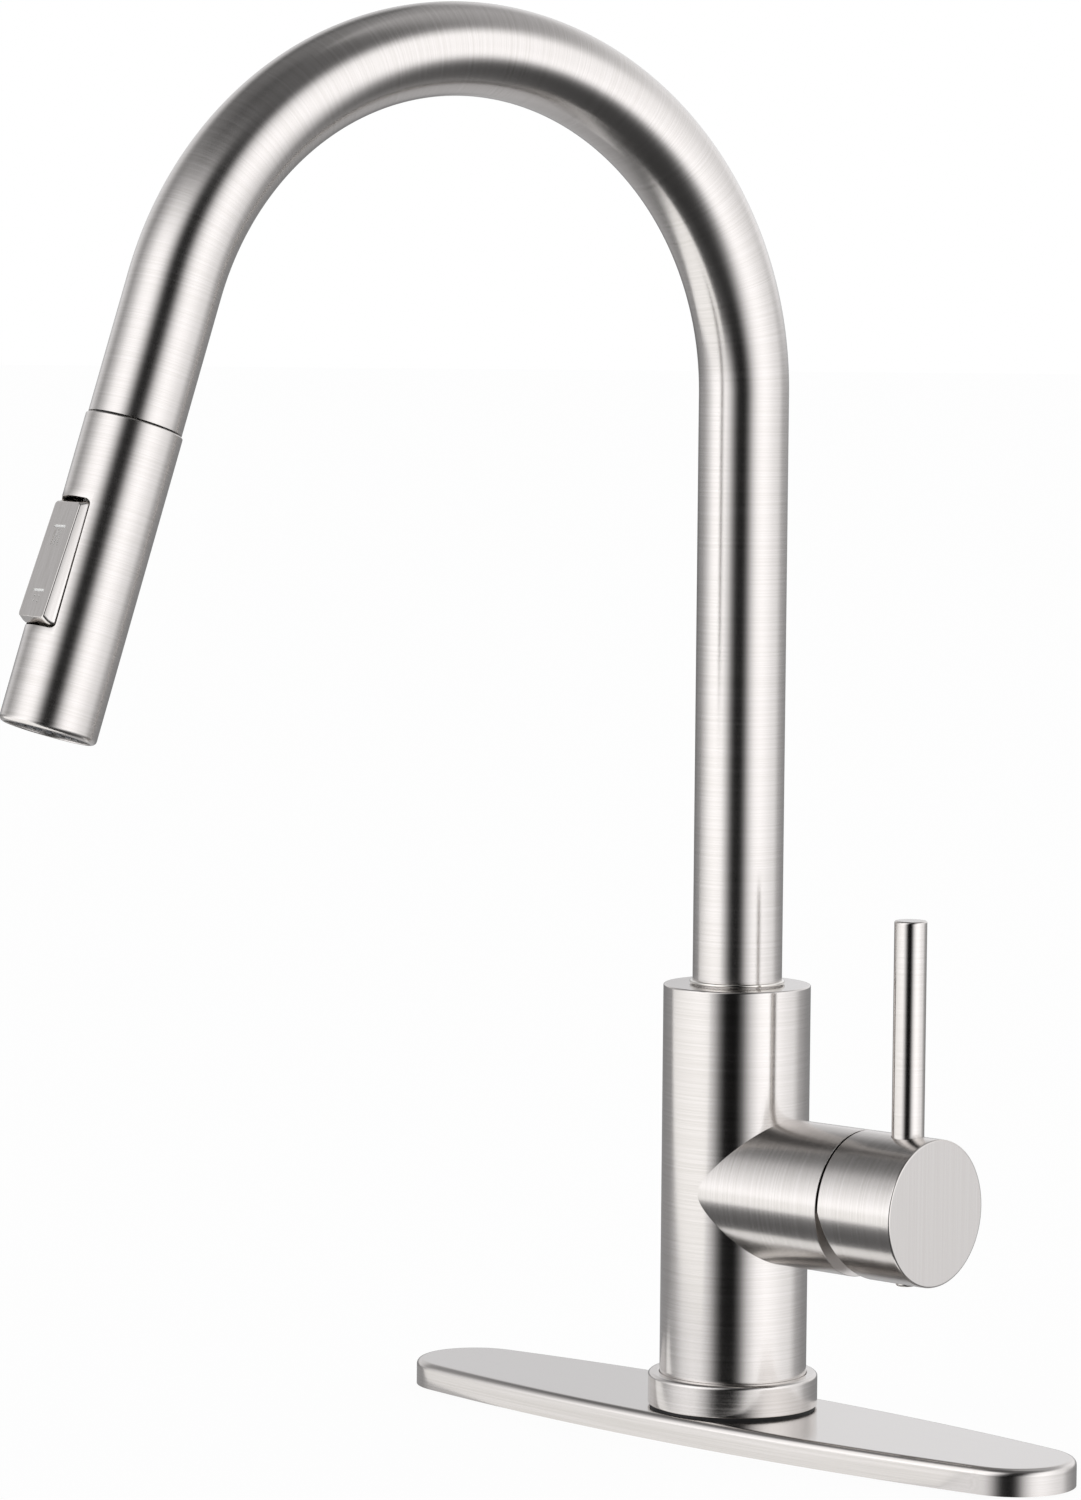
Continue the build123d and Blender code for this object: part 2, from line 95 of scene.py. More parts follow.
def add_node(tree: NodeTree, kind: str, links: dict | None = None, **settings) -> Node:
    """Add a node, set what it is set to and link what feeds it.

    Args:
        tree: The node tree that takes the node.
        kind: The node's type name.
        links: Input name or number to a socket, which is linked, or to a plain value, which is set.
        **settings: Properties of the node itself.

    Returns:
        The new node.
    """
    node = tree.nodes.new(kind)
    for name, value in settings.items():
        setattr(node, name, value)
    for name, value in (links or {}).items():
        if isinstance(value, NodeSocket):
            tree.links.new(value, node.inputs[name])
        else:
            node.inputs[name].default_value = value
    return node


def link_object(name: str, data: bpy.types.ID) -> Object:
    """Make an object of some data and link it to the scene."""
    piece = bpy.data.objects.new(name, data)
    bpy.context.scene.collection.objects.link(piece)
    return piece


def blank_material(name: str) -> tuple[Material, NodeTree]:
    """Make a material whose node tree is empty."""
    material = bpy.data.materials.new(name)
    material.use_nodes = True
    material.node_tree.nodes.clear()
    return material, material.node_tree


def fixed(points: Outline) -> list[Station]:
    """Make stations that are the same at every angle."""
    return [lambda angle, p=point: p for point in points]


def rounded(corners: Outline, steps: int = 5) -> list[tuple[float, float]]:
    """Round an outline's corners and hold its straight stretches flat.

    Args:
        corners: Corners as (radius, along) or (radius, along, fillet radius), in millimetres.
        steps: Number of short lines in each rounded corner.

    Returns:
        The outline's points, with a point close to each end of a long straight stretch.
    """
    points: list[Vector] = []
    last = len(corners) - 1
    for i, corner in enumerate(corners):
        here = Vector(corner[:2])
        fillet = corner[2] if len(corner) > 2 else 0.0
        if fillet and 0 < i < last:
            back = (Vector(corners[i - 1][:2]) - here).normalized()
            ahead = (Vector(corners[i + 1][:2]) - here).normalized()
            half = back.angle(ahead) / 2
            reach = fillet / math.tan(half)
            centre = here + (back + ahead).normalized() * (fillet / math.sin(half))
            start = here + back * reach - centre
            stop = here + ahead * reach - centre
            turn = start.angle(stop)
            for k in range(steps + 1):
                share = k / steps
                mix = start * math.sin((1 - share) * turn) + stop * math.sin(share * turn)
                points.append(centre + mix / math.sin(turn))
        else:
            points.append(here)
    held = [points[0]]
    for before, after in zip(points, points[1:]):
        span = after - before
        if span.length > 6 * HOLD:
            held.append(before + span.normalized() * HOLD)
            held.append(after - span.normalized() * HOLD)
        held.append(after)
    return [(p.x, p.y) for p in held]


@dataclass(frozen=True)
class Axle:
    """A straight axis in the row frame, in millimetres, that a part is turned about."""

    origin: tuple[float, float, float]
    along: tuple[float, float, float] = (0.0, 0.0, 1.0)
    side: tuple[float, float, float] = (1.0, 0.0, 0.0)

    def matrix(self) -> Matrix:
        """Matrix from the axle's own millimetres to the row frame's metres."""
        z = Vector(self.along).normalized()
        x = (Vector(self.side) - z * z.dot(Vector(self.side))).normalized()
        turn = Matrix((x, z.cross(x), z)).transposed().to_4x4()
        return Matrix.Scale(MM, 4) @ Matrix.Translation(Vector(self.origin)) @ turn

    def point(self, x: float, y: float, z: float) -> Vector:
        """Row point, in metres, of a place given in the axle's own millimetres."""
        return self.matrix() @ Vector((x, y, z))


class MeshShop:
    """Makes closed meshes from rings of points, and gives them their coordinates."""

    @staticmethod
    def from_rings(name: str, rings: Sequence[Sequence[Vector]], closed: bool) -> Object:
        """Join rings of points into one closed mesh.

        Args:
            name: The new object's name.
            rings: Rings with the same number of points, or one point where the surface has a pole.
            closed: Whether the last ring joins the first, as round a hollow part.

        Returns:
            The new object, with faces that point outwards.
        """
        verts: list[Vector] = []
        index: list[list[int]] = []
        for ring in rings:
            index.append(list(range(len(verts), len(verts) + len(ring))))
            verts.extend(ring)
        pairs = list(zip(index, index[1:]))
        if closed:
            pairs.append((index[-1], index[0]))
        faces: list[tuple[int, ...]] = []
        for low, high in pairs:
            count = max(len(low), len(high))
            for i in range(count):
                j = (i + 1) % count
                if len(low) == 1:
                    faces.append((low[0], high[j], high[i]))
                elif len(high) == 1:
                    faces.append((low[i], low[j], high[0]))
                else:
                    faces.append((low[i], low[j], high[j], high[i]))
        return MeshShop.from_faces(name, verts, faces)

    @staticmethod
    def from_faces(name: str, verts: Sequence[Vector], faces: Sequence[Sequence[int]]) -> Object:
        """Make an object of points and faces, with its faces turned outwards."""
        mesh = bpy.data.meshes.new(name)
        mesh.from_pydata([tuple(v) for v in verts], [], [tuple(f) for f in faces])
        if MeshShop.volume(mesh) < 0:
            mesh.flip_normals()
        mesh.update()
        return link_object(name, mesh)

    @staticmethod
    def volume(mesh: Mesh) -> float:
        """Signed volume of a closed mesh, below zero when its faces point inwards."""
        total = 0.0
        points = [v.co for v in mesh.vertices]
        for poly in mesh.polygons:
            first = points[poly.vertices[0]]
            for a, b in zip(poly.vertices[1:], poly.vertices[2:]):
                total += first.dot(points[a].cross(points[b]))
        return total / 6

    @staticmethod
    def turned(name: str, axle: Axle, stations: Sequence[Station], closed: bool,
               sides: int = SIDES) -> Object:
        """Turn an outline about an axle, where each station may change with the angle.

        Args:
            name: The new object's name.
            axle: The axis to turn about.
            stations: Functions from the angle to (radius, along) in millimetres.
            closed: Whether the outline is a loop that never meets the axis.
            sides: Number of faces round the axis.

        Returns:
            The new object, at the origin, with its lay coordinates.
        """
        place = axle.matrix()
        rings = []
        for station in stations:
            angles = [2 * math.pi * i / sides for i in range(sides)]
            spots = [(station(a), a) for a in angles]
            if max(r for (r, _), _ in spots) < 1e-6:
                spots = spots[:1]
            rings.append([place @ Vector((r * math.cos(a), r * math.sin(a), z)) for (r, z), a in spots])
        piece = MeshShop.from_rings(name, rings, closed)
        MeshShop.lay_on(piece, axle)
        return piece

    @staticmethod
    def lathe(name: str, axle: Axle, corners: Outline, closed: bool, sides: int = SIDES) -> Object:
        """Turn a plain outline, with its corners rounded, about an axle."""
        outline = list(corners) + [corners[0]] if closed else list(corners)
        points = rounded(outline)
        if closed:
            points = points[:-1]
        return MeshShop.turned(name, axle, fixed(points), closed, sides)

    @staticmethod
    def lay_out(mesh: Mesh, to_lay: Callable[[Vector], Vector], is_round: bool = True) -> None:
        """Store where each point lies on the straightened part, and a UV map round it.

        Args:
            mesh: The mesh, in metres in the row frame.
            to_lay: Gives a row point's place on the straightened part, in millimetres.
            is_round: Whether the UV map goes round the part, or takes the first two values as they are.
        """
        spots = [to_lay(v.co) for v in mesh.vertices]
        attribute = mesh.attributes.get(LAY) or mesh.attributes.new(LAY, "FLOAT_VECTOR", "POINT")
        attribute.data.foreach_set("vector", [c for spot in spots for c in spot])
        uv = (mesh.uv_layers.get(UV_NAME) or mesh.uv_layers.new(name=UV_NAME)).data
        for poly in mesh.polygons:
            corners = [spots[i] for i in poly.vertices]
            if is_round:
                turns = [math.atan2(c.y, c.x) for c in corners]
                if max(turns) - min(turns) > math.pi:
                    turns = [t + 2 * math.pi if t < 0 else t for t in turns]
                reach = max(math.hypot(c.x, c.y) for c in corners)
                places = [(t * reach, c.z) for t, c in zip(turns, corners)]
            else:
                places = [(c.x, c.y) for c in corners]
            for loop, place in zip(poly.loop_indices, places):
                uv[loop].uv = place

    @staticmethod
    def lay_on(piece: Object, axle: Axle) -> None:
        """Lay a turned piece out in its axle's own millimetres."""
        back = axle.matrix().inverted()
        MeshShop.lay_out(piece.data, lambda p: back @ p)

    @staticmethod
    def smooth(piece: Object, sharp_degrees: float = 32.0) -> None:
        """Shade a piece smooth, except over edges sharper than an angle."""
        piece.data.shade_smooth()
        piece.data.set_sharp_from_angle(angle=math.radians(sharp_degrees))

    @staticmethod
    def apply(piece: Object) -> None:
        """Bake a piece's modifiers into its mesh and remove them."""
        graph = bpy.context.evaluated_depsgraph_get()
        mesh = bpy.data.meshes.new_from_object(piece.evaluated_get(graph), depsgraph=graph)
        piece.modifiers.clear()
        piece.data = mesh

    @staticmethod
    def carve(piece: Object, cutter: Object, axle: Axle | None = None) -> None:
        """Cut one closed mesh out of another, delete the cutter, and lay a turned piece out anew."""
        cut = piece.modifiers.new("cut", "BOOLEAN")
        cut.operation = "DIFFERENCE"
        cut.solver = "EXACT"
        cut.object = cutter
        MeshShop.apply(piece)
        bpy.data.objects.remove(cutter)
        if axle:
            MeshShop.lay_on(piece, axle)

    @staticmethod
    def block(name: str, axle: Axle, low: Sequence[float], high: Sequence[float],
              corner: float = 0.0) -> Object:
        """Block along the axle's x, with its outline in y and z rounded at the corners.

        Args:
            name: The new object's name.
            axle: The frame that the block's corners are given in.
            low: Lowest x, y and z, in the axle's millimetres.
            high: Highest x, y and z.
            corner: Radius of the four corners seen along x.

        Returns:
            The new object.
        """
        middle = ((low[1] + high[1]) / 2, (low[2] + high[2]) / 2)
        half = ((high[1] - low[1]) / 2, (high[2] - low[2]) / 2)
        outline = rounded_rectangle(*half, max(corner, 0.01))
        rings = []
        for x in (low[0], high[0]):
            rings.append([axle.point(x, middle[0] + y, middle[1] + z) for y, z in outline])
        poles = [[axle.point(x, *middle)] for x in (low[0], high[0])]
        return MeshShop.from_rings(name, [poles[0], *rings, poles[1]], False)


def rounded_rectangle(half_y: float, half_z: float, corner: float, steps: int = 6) -> list[tuple[float, float]]:
    """Points round a rectangle with rounded corners, in order.

    Args:
        half_y: Half its width.
        half_z: Half its height.
        corner: Radius of its corners.
        steps: Number of short lines in each corner.

    Returns:
        The points as (y, z).
    """
    points = []
    for quarter in range(4):
        sign_y = 1 if quarter in (0, 3) else -1
        sign_z = 1 if quarter in (0, 1) else -1
        centre = (sign_y * (half_y - corner), sign_z * (half_z - corner))
        for k in range(steps + 1):
            angle = math.pi / 2 * (quarter + k / steps)
            points.append((centre[0] + corner * math.cos(angle), centre[1] + corner * math.sin(angle)))
    return points


# ---------------------------------------------------------------- finishes


class Brushing(Enum):
    """Which way the fine lines of a brushed surface run."""

    ROUND = (0.03, 0.03, 3.4)
    LENGTHWISE = (0.02, 3.4, 3.4)


@dataclass(frozen=True)
class BrushedNickel:
    """Brushed nickel plate: a satin metal whose fine lines smear each reflection across them."""

    name: str
    brushing: Brushing
    light: str = "#DAD6D3"
    dark: str = "#D1CDC9"
    roughness: float = 0.24
    roughness_spread: float = 0.02
    anisotropy: float = 0.4
    rotation: float = 0.25
    line_height: float = 0.0035

    def build(self) -> Material:
        """Make the material, with lines that follow each piece's own lay coordinates."""
        material, tree = blank_material(self.name)
        lay = add_node(tree, "ShaderNodeAttribute", attribute_name=LAY)
        lines = self.streaks(tree, lay.outputs["Vector"], 1.0)
        broad = self.streaks(tree, lay.outputs["Vector"], 0.3)
        both = add_node(tree, "ShaderNodeMath", {0: lines, 1: broad}, operation="ADD")
        level = add_node(tree, "ShaderNodeMapRange", {
            "Value": both.outputs[0], "From Min": 0.7, "From Max": 1.3,
            "To Min": self.roughness - self.roughness_spread,
            "To Max": self.roughness + self.roughness_spread,
        })
        share = add_node(tree, "ShaderNodeMapRange", {
            "Value": both.outputs[0], "From Min": 0.8, "From Max": 1.2,
        })
        colour = add_node(tree, "ShaderNodeMix", {
            "Factor": share.outputs["Result"], "A": linear(self.dark), "B": linear(self.light),
        }, data_type="RGBA")
        bump = add_node(tree, "ShaderNodeBump", {
            "Height": both.outputs[0], "Strength": 0.15, "Distance": self.line_height * MM,
        })
        tangent = add_node(tree, "ShaderNodeTangent", direction_type="UV_MAP", uv_map=UV_NAME)
        shader = add_node(tree, "ShaderNodeBsdfPrincipled", {
            "Base Color": colour.outputs["Result"], "Metallic": 1.0, "Roughness": level.outputs["Result"],
            "Anisotropic": self.anisotropy, "Anisotropic Rotation": self.rotation,
            "Normal": bump.outputs["Normal"], "Tangent": tangent.outputs["Tangent"],
        })
        add_node(tree, "ShaderNodeOutputMaterial", {"Surface": shader.outputs["BSDF"]})
        return material

    def streaks(self, tree: NodeTree, lay: NodeSocket, fineness: float) -> NodeSocket:
        """Noise drawn out along the brushing.

        Args:
            tree: The material's node tree.
            lay: The lay coordinates, in millimetres.
            fineness: 1 for the finest lines, less for broader ones.

        Returns:
            The noise's value.
        """
        scale = tuple(value * fineness for value in self.brushing.value)
        place = add_node(tree, "ShaderNodeMapping", {"Vector": lay, "Scale": scale})
        noise = add_node(tree, "ShaderNodeTexNoise", {
            "Vector": place.outputs["Vector"], "Scale": 1.0, "Detail": 3.0, "Roughness": 0.5,
        })
        return noise.outputs["Fac"]


@dataclass(frozen=True)
class Plain:
    """A finish with a light, even texture: polished, moulded, machined, plated or rubber.

    The grain is a real size in millimetres, such as a moulding's spark texture or machining marks.
    """

    name: str
    light: str
    dark: str
    metallic: float = 0.0
    roughness: float = 0.45
    roughness_spread: float = 0.05
    grain: float = 0.6
    relief: float = 0.01
    ior: float = 1.5

    def build(self) -> Material:
        """Make the material from noise on Object coordinates."""
        material, tree = blank_material(self.name)
        place = add_node(tree, "ShaderNodeTexCoord")
        noise = add_node(tree, "ShaderNodeTexNoise", {
            "Vector": place.outputs["Object"], "Scale": 1 / (self.grain * MM), "Detail": 4.0,
        })
        level = add_node(tree, "ShaderNodeMapRange", {
            "Value": noise.outputs["Fac"], "From Min": 0.3, "From Max": 0.7,
            "To Min": self.roughness - self.roughness_spread,
            "To Max": self.roughness + self.roughness_spread,
        })
        colour = add_node(tree, "ShaderNodeMix", {
            "Factor": noise.outputs["Fac"], "A": linear(self.dark), "B": linear(self.light),
        }, data_type="RGBA")
        bump = add_node(tree, "ShaderNodeBump", {
            "Height": noise.outputs["Fac"], "Strength": 0.3, "Distance": self.relief * MM,
        })
        inputs = {
            "Base Color": colour.outputs["Result"], "Metallic": self.metallic,
            "Roughness": level.outputs["Result"], "Normal": bump.outputs["Normal"],
        }
        if not self.metallic:
            inputs["IOR"] = self.ior
        shader = add_node(tree, "ShaderNodeBsdfPrincipled", inputs)
        add_node(tree, "ShaderNodeOutputMaterial", {"Surface": shader.outputs["BSDF"]})
        return material


@dataclass(frozen=True)
class BraidedNylon:
    """Nylon braid over a rubber hose: two sets of strands that cross, grey with a soft sheen."""

    name: str = "braided nylon hose"
    light: str = "#8E9093"
    dark: str = "#2E3033"
    strand: float = 1.1

    def build(self) -> Material:
        """Make the material from two crossing waves on the hose's UV map."""
        material, tree = blank_material(self.name)
        uv = add_node(tree, "ShaderNodeUVMap", uv_map=UV_NAME)
        parts = add_node(tree, "ShaderNodeSeparateXYZ", {"Vector": uv.outputs["UV"]})
        waves = []
        for sign in (-1.0, 1.0):
            slope = add_node(tree, "ShaderNodeMath", {0: parts.outputs["Y"], 1: sign}, operation="MULTIPLY")
            across = add_node(tree, "ShaderNodeMath", {
                0: parts.outputs["X"], 1: slope.outputs[0],
            }, operation="ADD")
            phase = add_node(tree, "ShaderNodeMath", {
                0: across.outputs[0], 1: math.pi / self.strand,
            }, operation="MULTIPLY")
            waves.append(add_node(tree, "ShaderNodeMath", {0: phase.outputs[0]}, operation="SINE").outputs[0])
        weave = add_node(tree, "ShaderNodeMath", {0: waves[0], 1: waves[1]}, operation="MAXIMUM")
        level = add_node(tree, "ShaderNodeMapRange", {
            "Value": weave.outputs[0], "From Min": -1.0, "From Max": 1.0,
        })
        colour = add_node(tree, "ShaderNodeMix", {
            "Factor": level.outputs["Result"], "A": linear(self.dark), "B": linear(self.light),
        }, data_type="RGBA")
        bump = add_node(tree, "ShaderNodeBump", {
            "Height": level.outputs["Result"], "Strength": 0.8, "Distance": 0.25 * MM,
        })
        shader = add_node(tree, "ShaderNodeBsdfPrincipled", {
            "Base Color": colour.outputs["Result"], "Roughness": 0.5, "Normal": bump.outputs["Normal"],
            "Sheen Weight": 0.25,
        })
        add_node(tree, "ShaderNodeOutputMaterial", {"Surface": shader.outputs["BSDF"]})
        return material


@dataclass(frozen=True)
class FinishSet:
    """Every finish of the faucet, by the record's slot and by where it is brushed."""

    tube_nickel: Material
    round_nickel: Material
    valve_nickel: Material
    long_nickel: Material
    face_nickel: Material
    symbol_highlight: Material
    by_slot: dict[str, Material]

    @staticmethod
    def build() -> "FinishSet":
        """Make all the materials once."""
        # Name, light and dark colour, metallic, roughness and its spread, grain, relief and index of refraction.
        plain = {
            "brushed_nickel": Plain("satin nickel plate", "#D6D2CD", "#CCC7C1", 1.0, 0.28, 0.05),
            # Buffed to a mirror, so that it flashes where it turns.
            "polished_nickel": Plain(
                "polished nickel plate", "#E4E1DC", "#DDD9D3", 1.0, 0.07, 0.02, 3.0, 0.002),
            # Dull black, with a faint bloom.
            "black_rubber": Plain("nitrile rubber", "#1B1B1C", "#101011", 0.0, 0.62, 0.06, 0.5, 0.02),
            # Milky and slightly glossy, straight from the mould.
            "white_nylon": Plain("moulded nylon", "#E2E0D9", "#D8D5CD", 0.0, 0.42, 0.05, 0.8, 0.015),
            "grey_plastic": Plain("moulded grey acetal", "#8F8F90", "#7F8081", 0.0, 0.4, 0.05, 0.5, 0.015),
            "button_plastic": Plain("satin plated button", "#CFCBC6", "#C4BFB9", 1.0, 0.3, 0.04, 0.4, 0.01),
            "grey_silicone": Plain("silicone rubber", "#6E6F72", "#626366", 0.0, 0.55, 0.05, 0.4, 0.01, 1.41),
            # Yellow metal with bright tool marks.
            "brass": Plain("machined brass", "#D9B568", "#C29B4C", 1.0, 0.3, 0.07, 0.4, 0.01),
            "copper": Plain("drawn copper", "#D08B68", "#BC7653", 1.0, 0.33, 0.07, 0.7, 0.01),
            "steel": Plain("zinc plated steel", "#C3C5C7", "#B2B5B8", 1.0, 0.32, 0.06, 0.5, 0.01),
            "white_ceramic": Plain(
                "lapped alumina ceramic", "#EFEDE7", "#E7E4DC", 0.0, 0.16, 0.03, 0.9, 0.003, 1.76),
            "magnet": Plain("nickel plated magnet", "#8B8C90", "#7B7C80", 1.0, 0.26, 0.05, 0.8, 0.005),
        }
        by_slot = {slot: finish.build() for slot, finish in plain.items()}
        by_slot["braided_nylon"] = BraidedNylon().build()
        around, lengthwise = Brushing.ROUND, Brushing.LENGTHWISE
        return FinishSet(
            tube_nickel=BrushedNickel("nickel plate brushed round, soft", around, roughness=0.23).build(),
            round_nickel=BrushedNickel("nickel plate brushed round, fine", around, roughness=0.17).build(),
            valve_nickel=BrushedNickel("nickel plate brushed round, valve", around, roughness=0.21).build(),
            long_nickel=BrushedNickel(
                "nickel plate brushed lengthwise", lengthwise, roughness=0.2, anisotropy=0.3).build(),
            face_nickel=BrushedNickel(
                "nickel plate brushed flat", lengthwise, "#D5D2CF", "#D0CCC9", 0.17, anisotropy=0.0).build(),
            # The symbols are real marks, but their pale matt fill is a painted highlight that stands in for the
            # light their edges catch.
            symbol_highlight=Plain("symbol groove fill, painted highlight", "#F4F4F2", "#ECECEA", 0.0, 0.5, 0.05, 0.4, 0.01).build(),
            by_slot=by_slot,
        )


# ---------------------------------------------------------------- repeated things, by Geometry Nodes


class Repeats:
    """Geometry Nodes trees for what repeats or follows a path, each turned to a plain mesh."""

    @staticmethod
    def tree(name: str, **inputs: str) -> tuple[NodeTree, Node]:
        """Start a tree with named inputs.

        Args:
            name: The tree's name.
            **inputs: Each input's name and kind of socket.

        Returns:
            The tree and its input node.
        """
        tree = bpy.data.node_groups.new(name, "GeometryNodeTree")
        tree.interface.new_socket(name="Geometry", in_out="INPUT", socket_type="NodeSocketGeometry")
        for label, kind in inputs.items():
            tree.interface.new_socket(name=label, in_out="INPUT", socket_type="NodeSocket" + kind)
        tree.interface.new_socket(name="Geometry", in_out="OUTPUT", socket_type="NodeSocketGeometry")
        return tree, add_node(tree, "NodeGroupInput")

    @staticmethod
    def end(tree: NodeTree, geometry: NodeSocket, material: NodeSocket) -> None:
        """Realize, set the material and join the tree's output."""
        real = add_node(tree, "GeometryNodeRealizeInstances", {"Geometry": geometry})
        dressed = add_node(tree, "GeometryNodeSetMaterial", {"Geometry": real.outputs[0], "Material": material})
        add_node(tree, "NodeGroupOutput", {"Geometry": dressed.outputs[0]})

    @staticmethod
    def run(name: str, source: Object, tree: NodeTree, values: dict,
            place: Matrix) -> Object:
        """Run a tree on an object and give its result as a plain mesh object.

        Args:
            name: The new object's name.
            source: The object that the tree starts from, which is deleted.
            tree: The tree.
            values: Input name to value.
            place: Matrix that puts the result in the row frame.

        Returns:
            The new object, at the origin.
        """
        modifier = source.modifiers.new("nodes", "NODES")
        modifier.node_group = tree
        for item in tree.interface.items_tree:
            if item.in_out == "INPUT" and item.name in values:
                modifier[item.identifier] = values[item.name]
        graph = bpy.context.evaluated_depsgraph_get()
        mesh = bpy.data.meshes.new_from_object(source.evaluated_get(graph), depsgraph=graph)
        source.modifiers.clear()
        bpy.data.objects.remove(source)
        mesh.transform(place)
        if MeshShop.volume(mesh) < 0:
            mesh.flip_normals()
        return link_object(name, mesh)

    @staticmethod
    def sweep_tree() -> NodeTree:
        """Tree that draws a round bar or tube along the curve it is given."""
        tree, given = Repeats.tree(
            "sweep along a path", Radius="Float", Sides="Int", Ends="Bool", Finish="Material")
        circle = add_node(tree, "GeometryNodeCurvePrimitiveCircle", {
            "Resolution": given.outputs["Sides"], "Radius": given.outputs["Radius"],
        })
        swept = add_node(tree, "GeometryNodeCurveToMesh", {
            "Curve": given.outputs["Geometry"], "Profile Curve": circle.outputs["Curve"],
            "Fill Caps": given.outputs["Ends"],
        })
        Repeats.end(tree, swept.outputs["Mesh"], given.outputs["Finish"])
        return tree

    @staticmethod
    def circle_tree() -> NodeTree:
        """Tree that repeats the mesh it is given on a circle."""
        tree, given = Repeats.tree("copies on a circle", Count="Int", Radius="Float", Finish="Material")
        circle = add_node(tree, "GeometryNodeMeshCircle", {
            "Vertices": given.outputs["Count"], "Radius": given.outputs["Radius"],
        })
        copies = add_node(tree, "GeometryNodeInstanceOnPoints", {
            "Points": circle.outputs["Mesh"], "Instance": given.outputs["Geometry"],
        })
        Repeats.end(tree, copies.outputs["Instances"], given.outputs["Finish"])
        return tree

    @staticmethod
    def thread_tree() -> NodeTree:
        """Tree that winds a screw thread's ridge as a spiral."""
        tree, given = Repeats.tree(
            "screw thread", Radius="Float", Turns="Float", Length="Float", Ridge="Float", Finish="Material")
        spiral = add_node(tree, "GeometryNodeCurveSpiral", {
            "Resolution": 72, "Rotations": given.outputs["Turns"], "Start Radius": given.outputs["Radius"],
            "End Radius": given.outputs["Radius"], "Height": given.outputs["Length"],
        })
        ridge = add_node(tree, "GeometryNodeCurvePrimitiveCircle", {
            "Resolution": 4, "Radius": given.outputs["Ridge"],
        })
        swept = add_node(tree, "GeometryNodeCurveToMesh", {
            "Curve": spiral.outputs["Curve"], "Profile Curve": ridge.outputs["Curve"], "Fill Caps": True,
        })
        Repeats.end(tree, swept.outputs["Mesh"], given.outputs["Finish"])
        return tree


def path_curve(points: Sequence[Vector]) -> Object:
    """Plain curve object through points, for a tree to follow."""
    curve = bpy.data.curves.new("path", "CURVE")
    curve.dimensions = "3D"
    spline = curve.splines.new("POLY")
    spline.points.add(len(points) - 1)
    for spot, point in zip(spline.points, points):
        spot.co = (*point, 1.0)
    return link_object("path", curve)


# ---------------------------------------------------------------- sub-assemblies


def dress(piece: Object, body: str, nodes: Sequence[str],
          materials: Sequence[Material]) -> Object:
    """Give a finished piece its materials, its body and the CAD nodes it stands for.

    Args:
        piece: The piece, at the origin.
        body: The CAD body that it moves with.
        nodes: CAD nodes that it replaces.
        materials: Its materials, in the order of its faces' numbers.

    Returns:
        The piece.
    """
    numbers = [poly.material_index for poly in piece.data.polygons]
    piece.data.materials.clear()
    for material in materials:
        piece.data.materials.append(material)
    piece.data.polygons.foreach_set("material_index", numbers)
    MeshShop.smooth(piece)
    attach(piece, body)
    if nodes:
        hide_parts(*nodes)
    log.info("%s: %d faces on %s", piece.name, len(piece.data.polygons), body)
    return piece


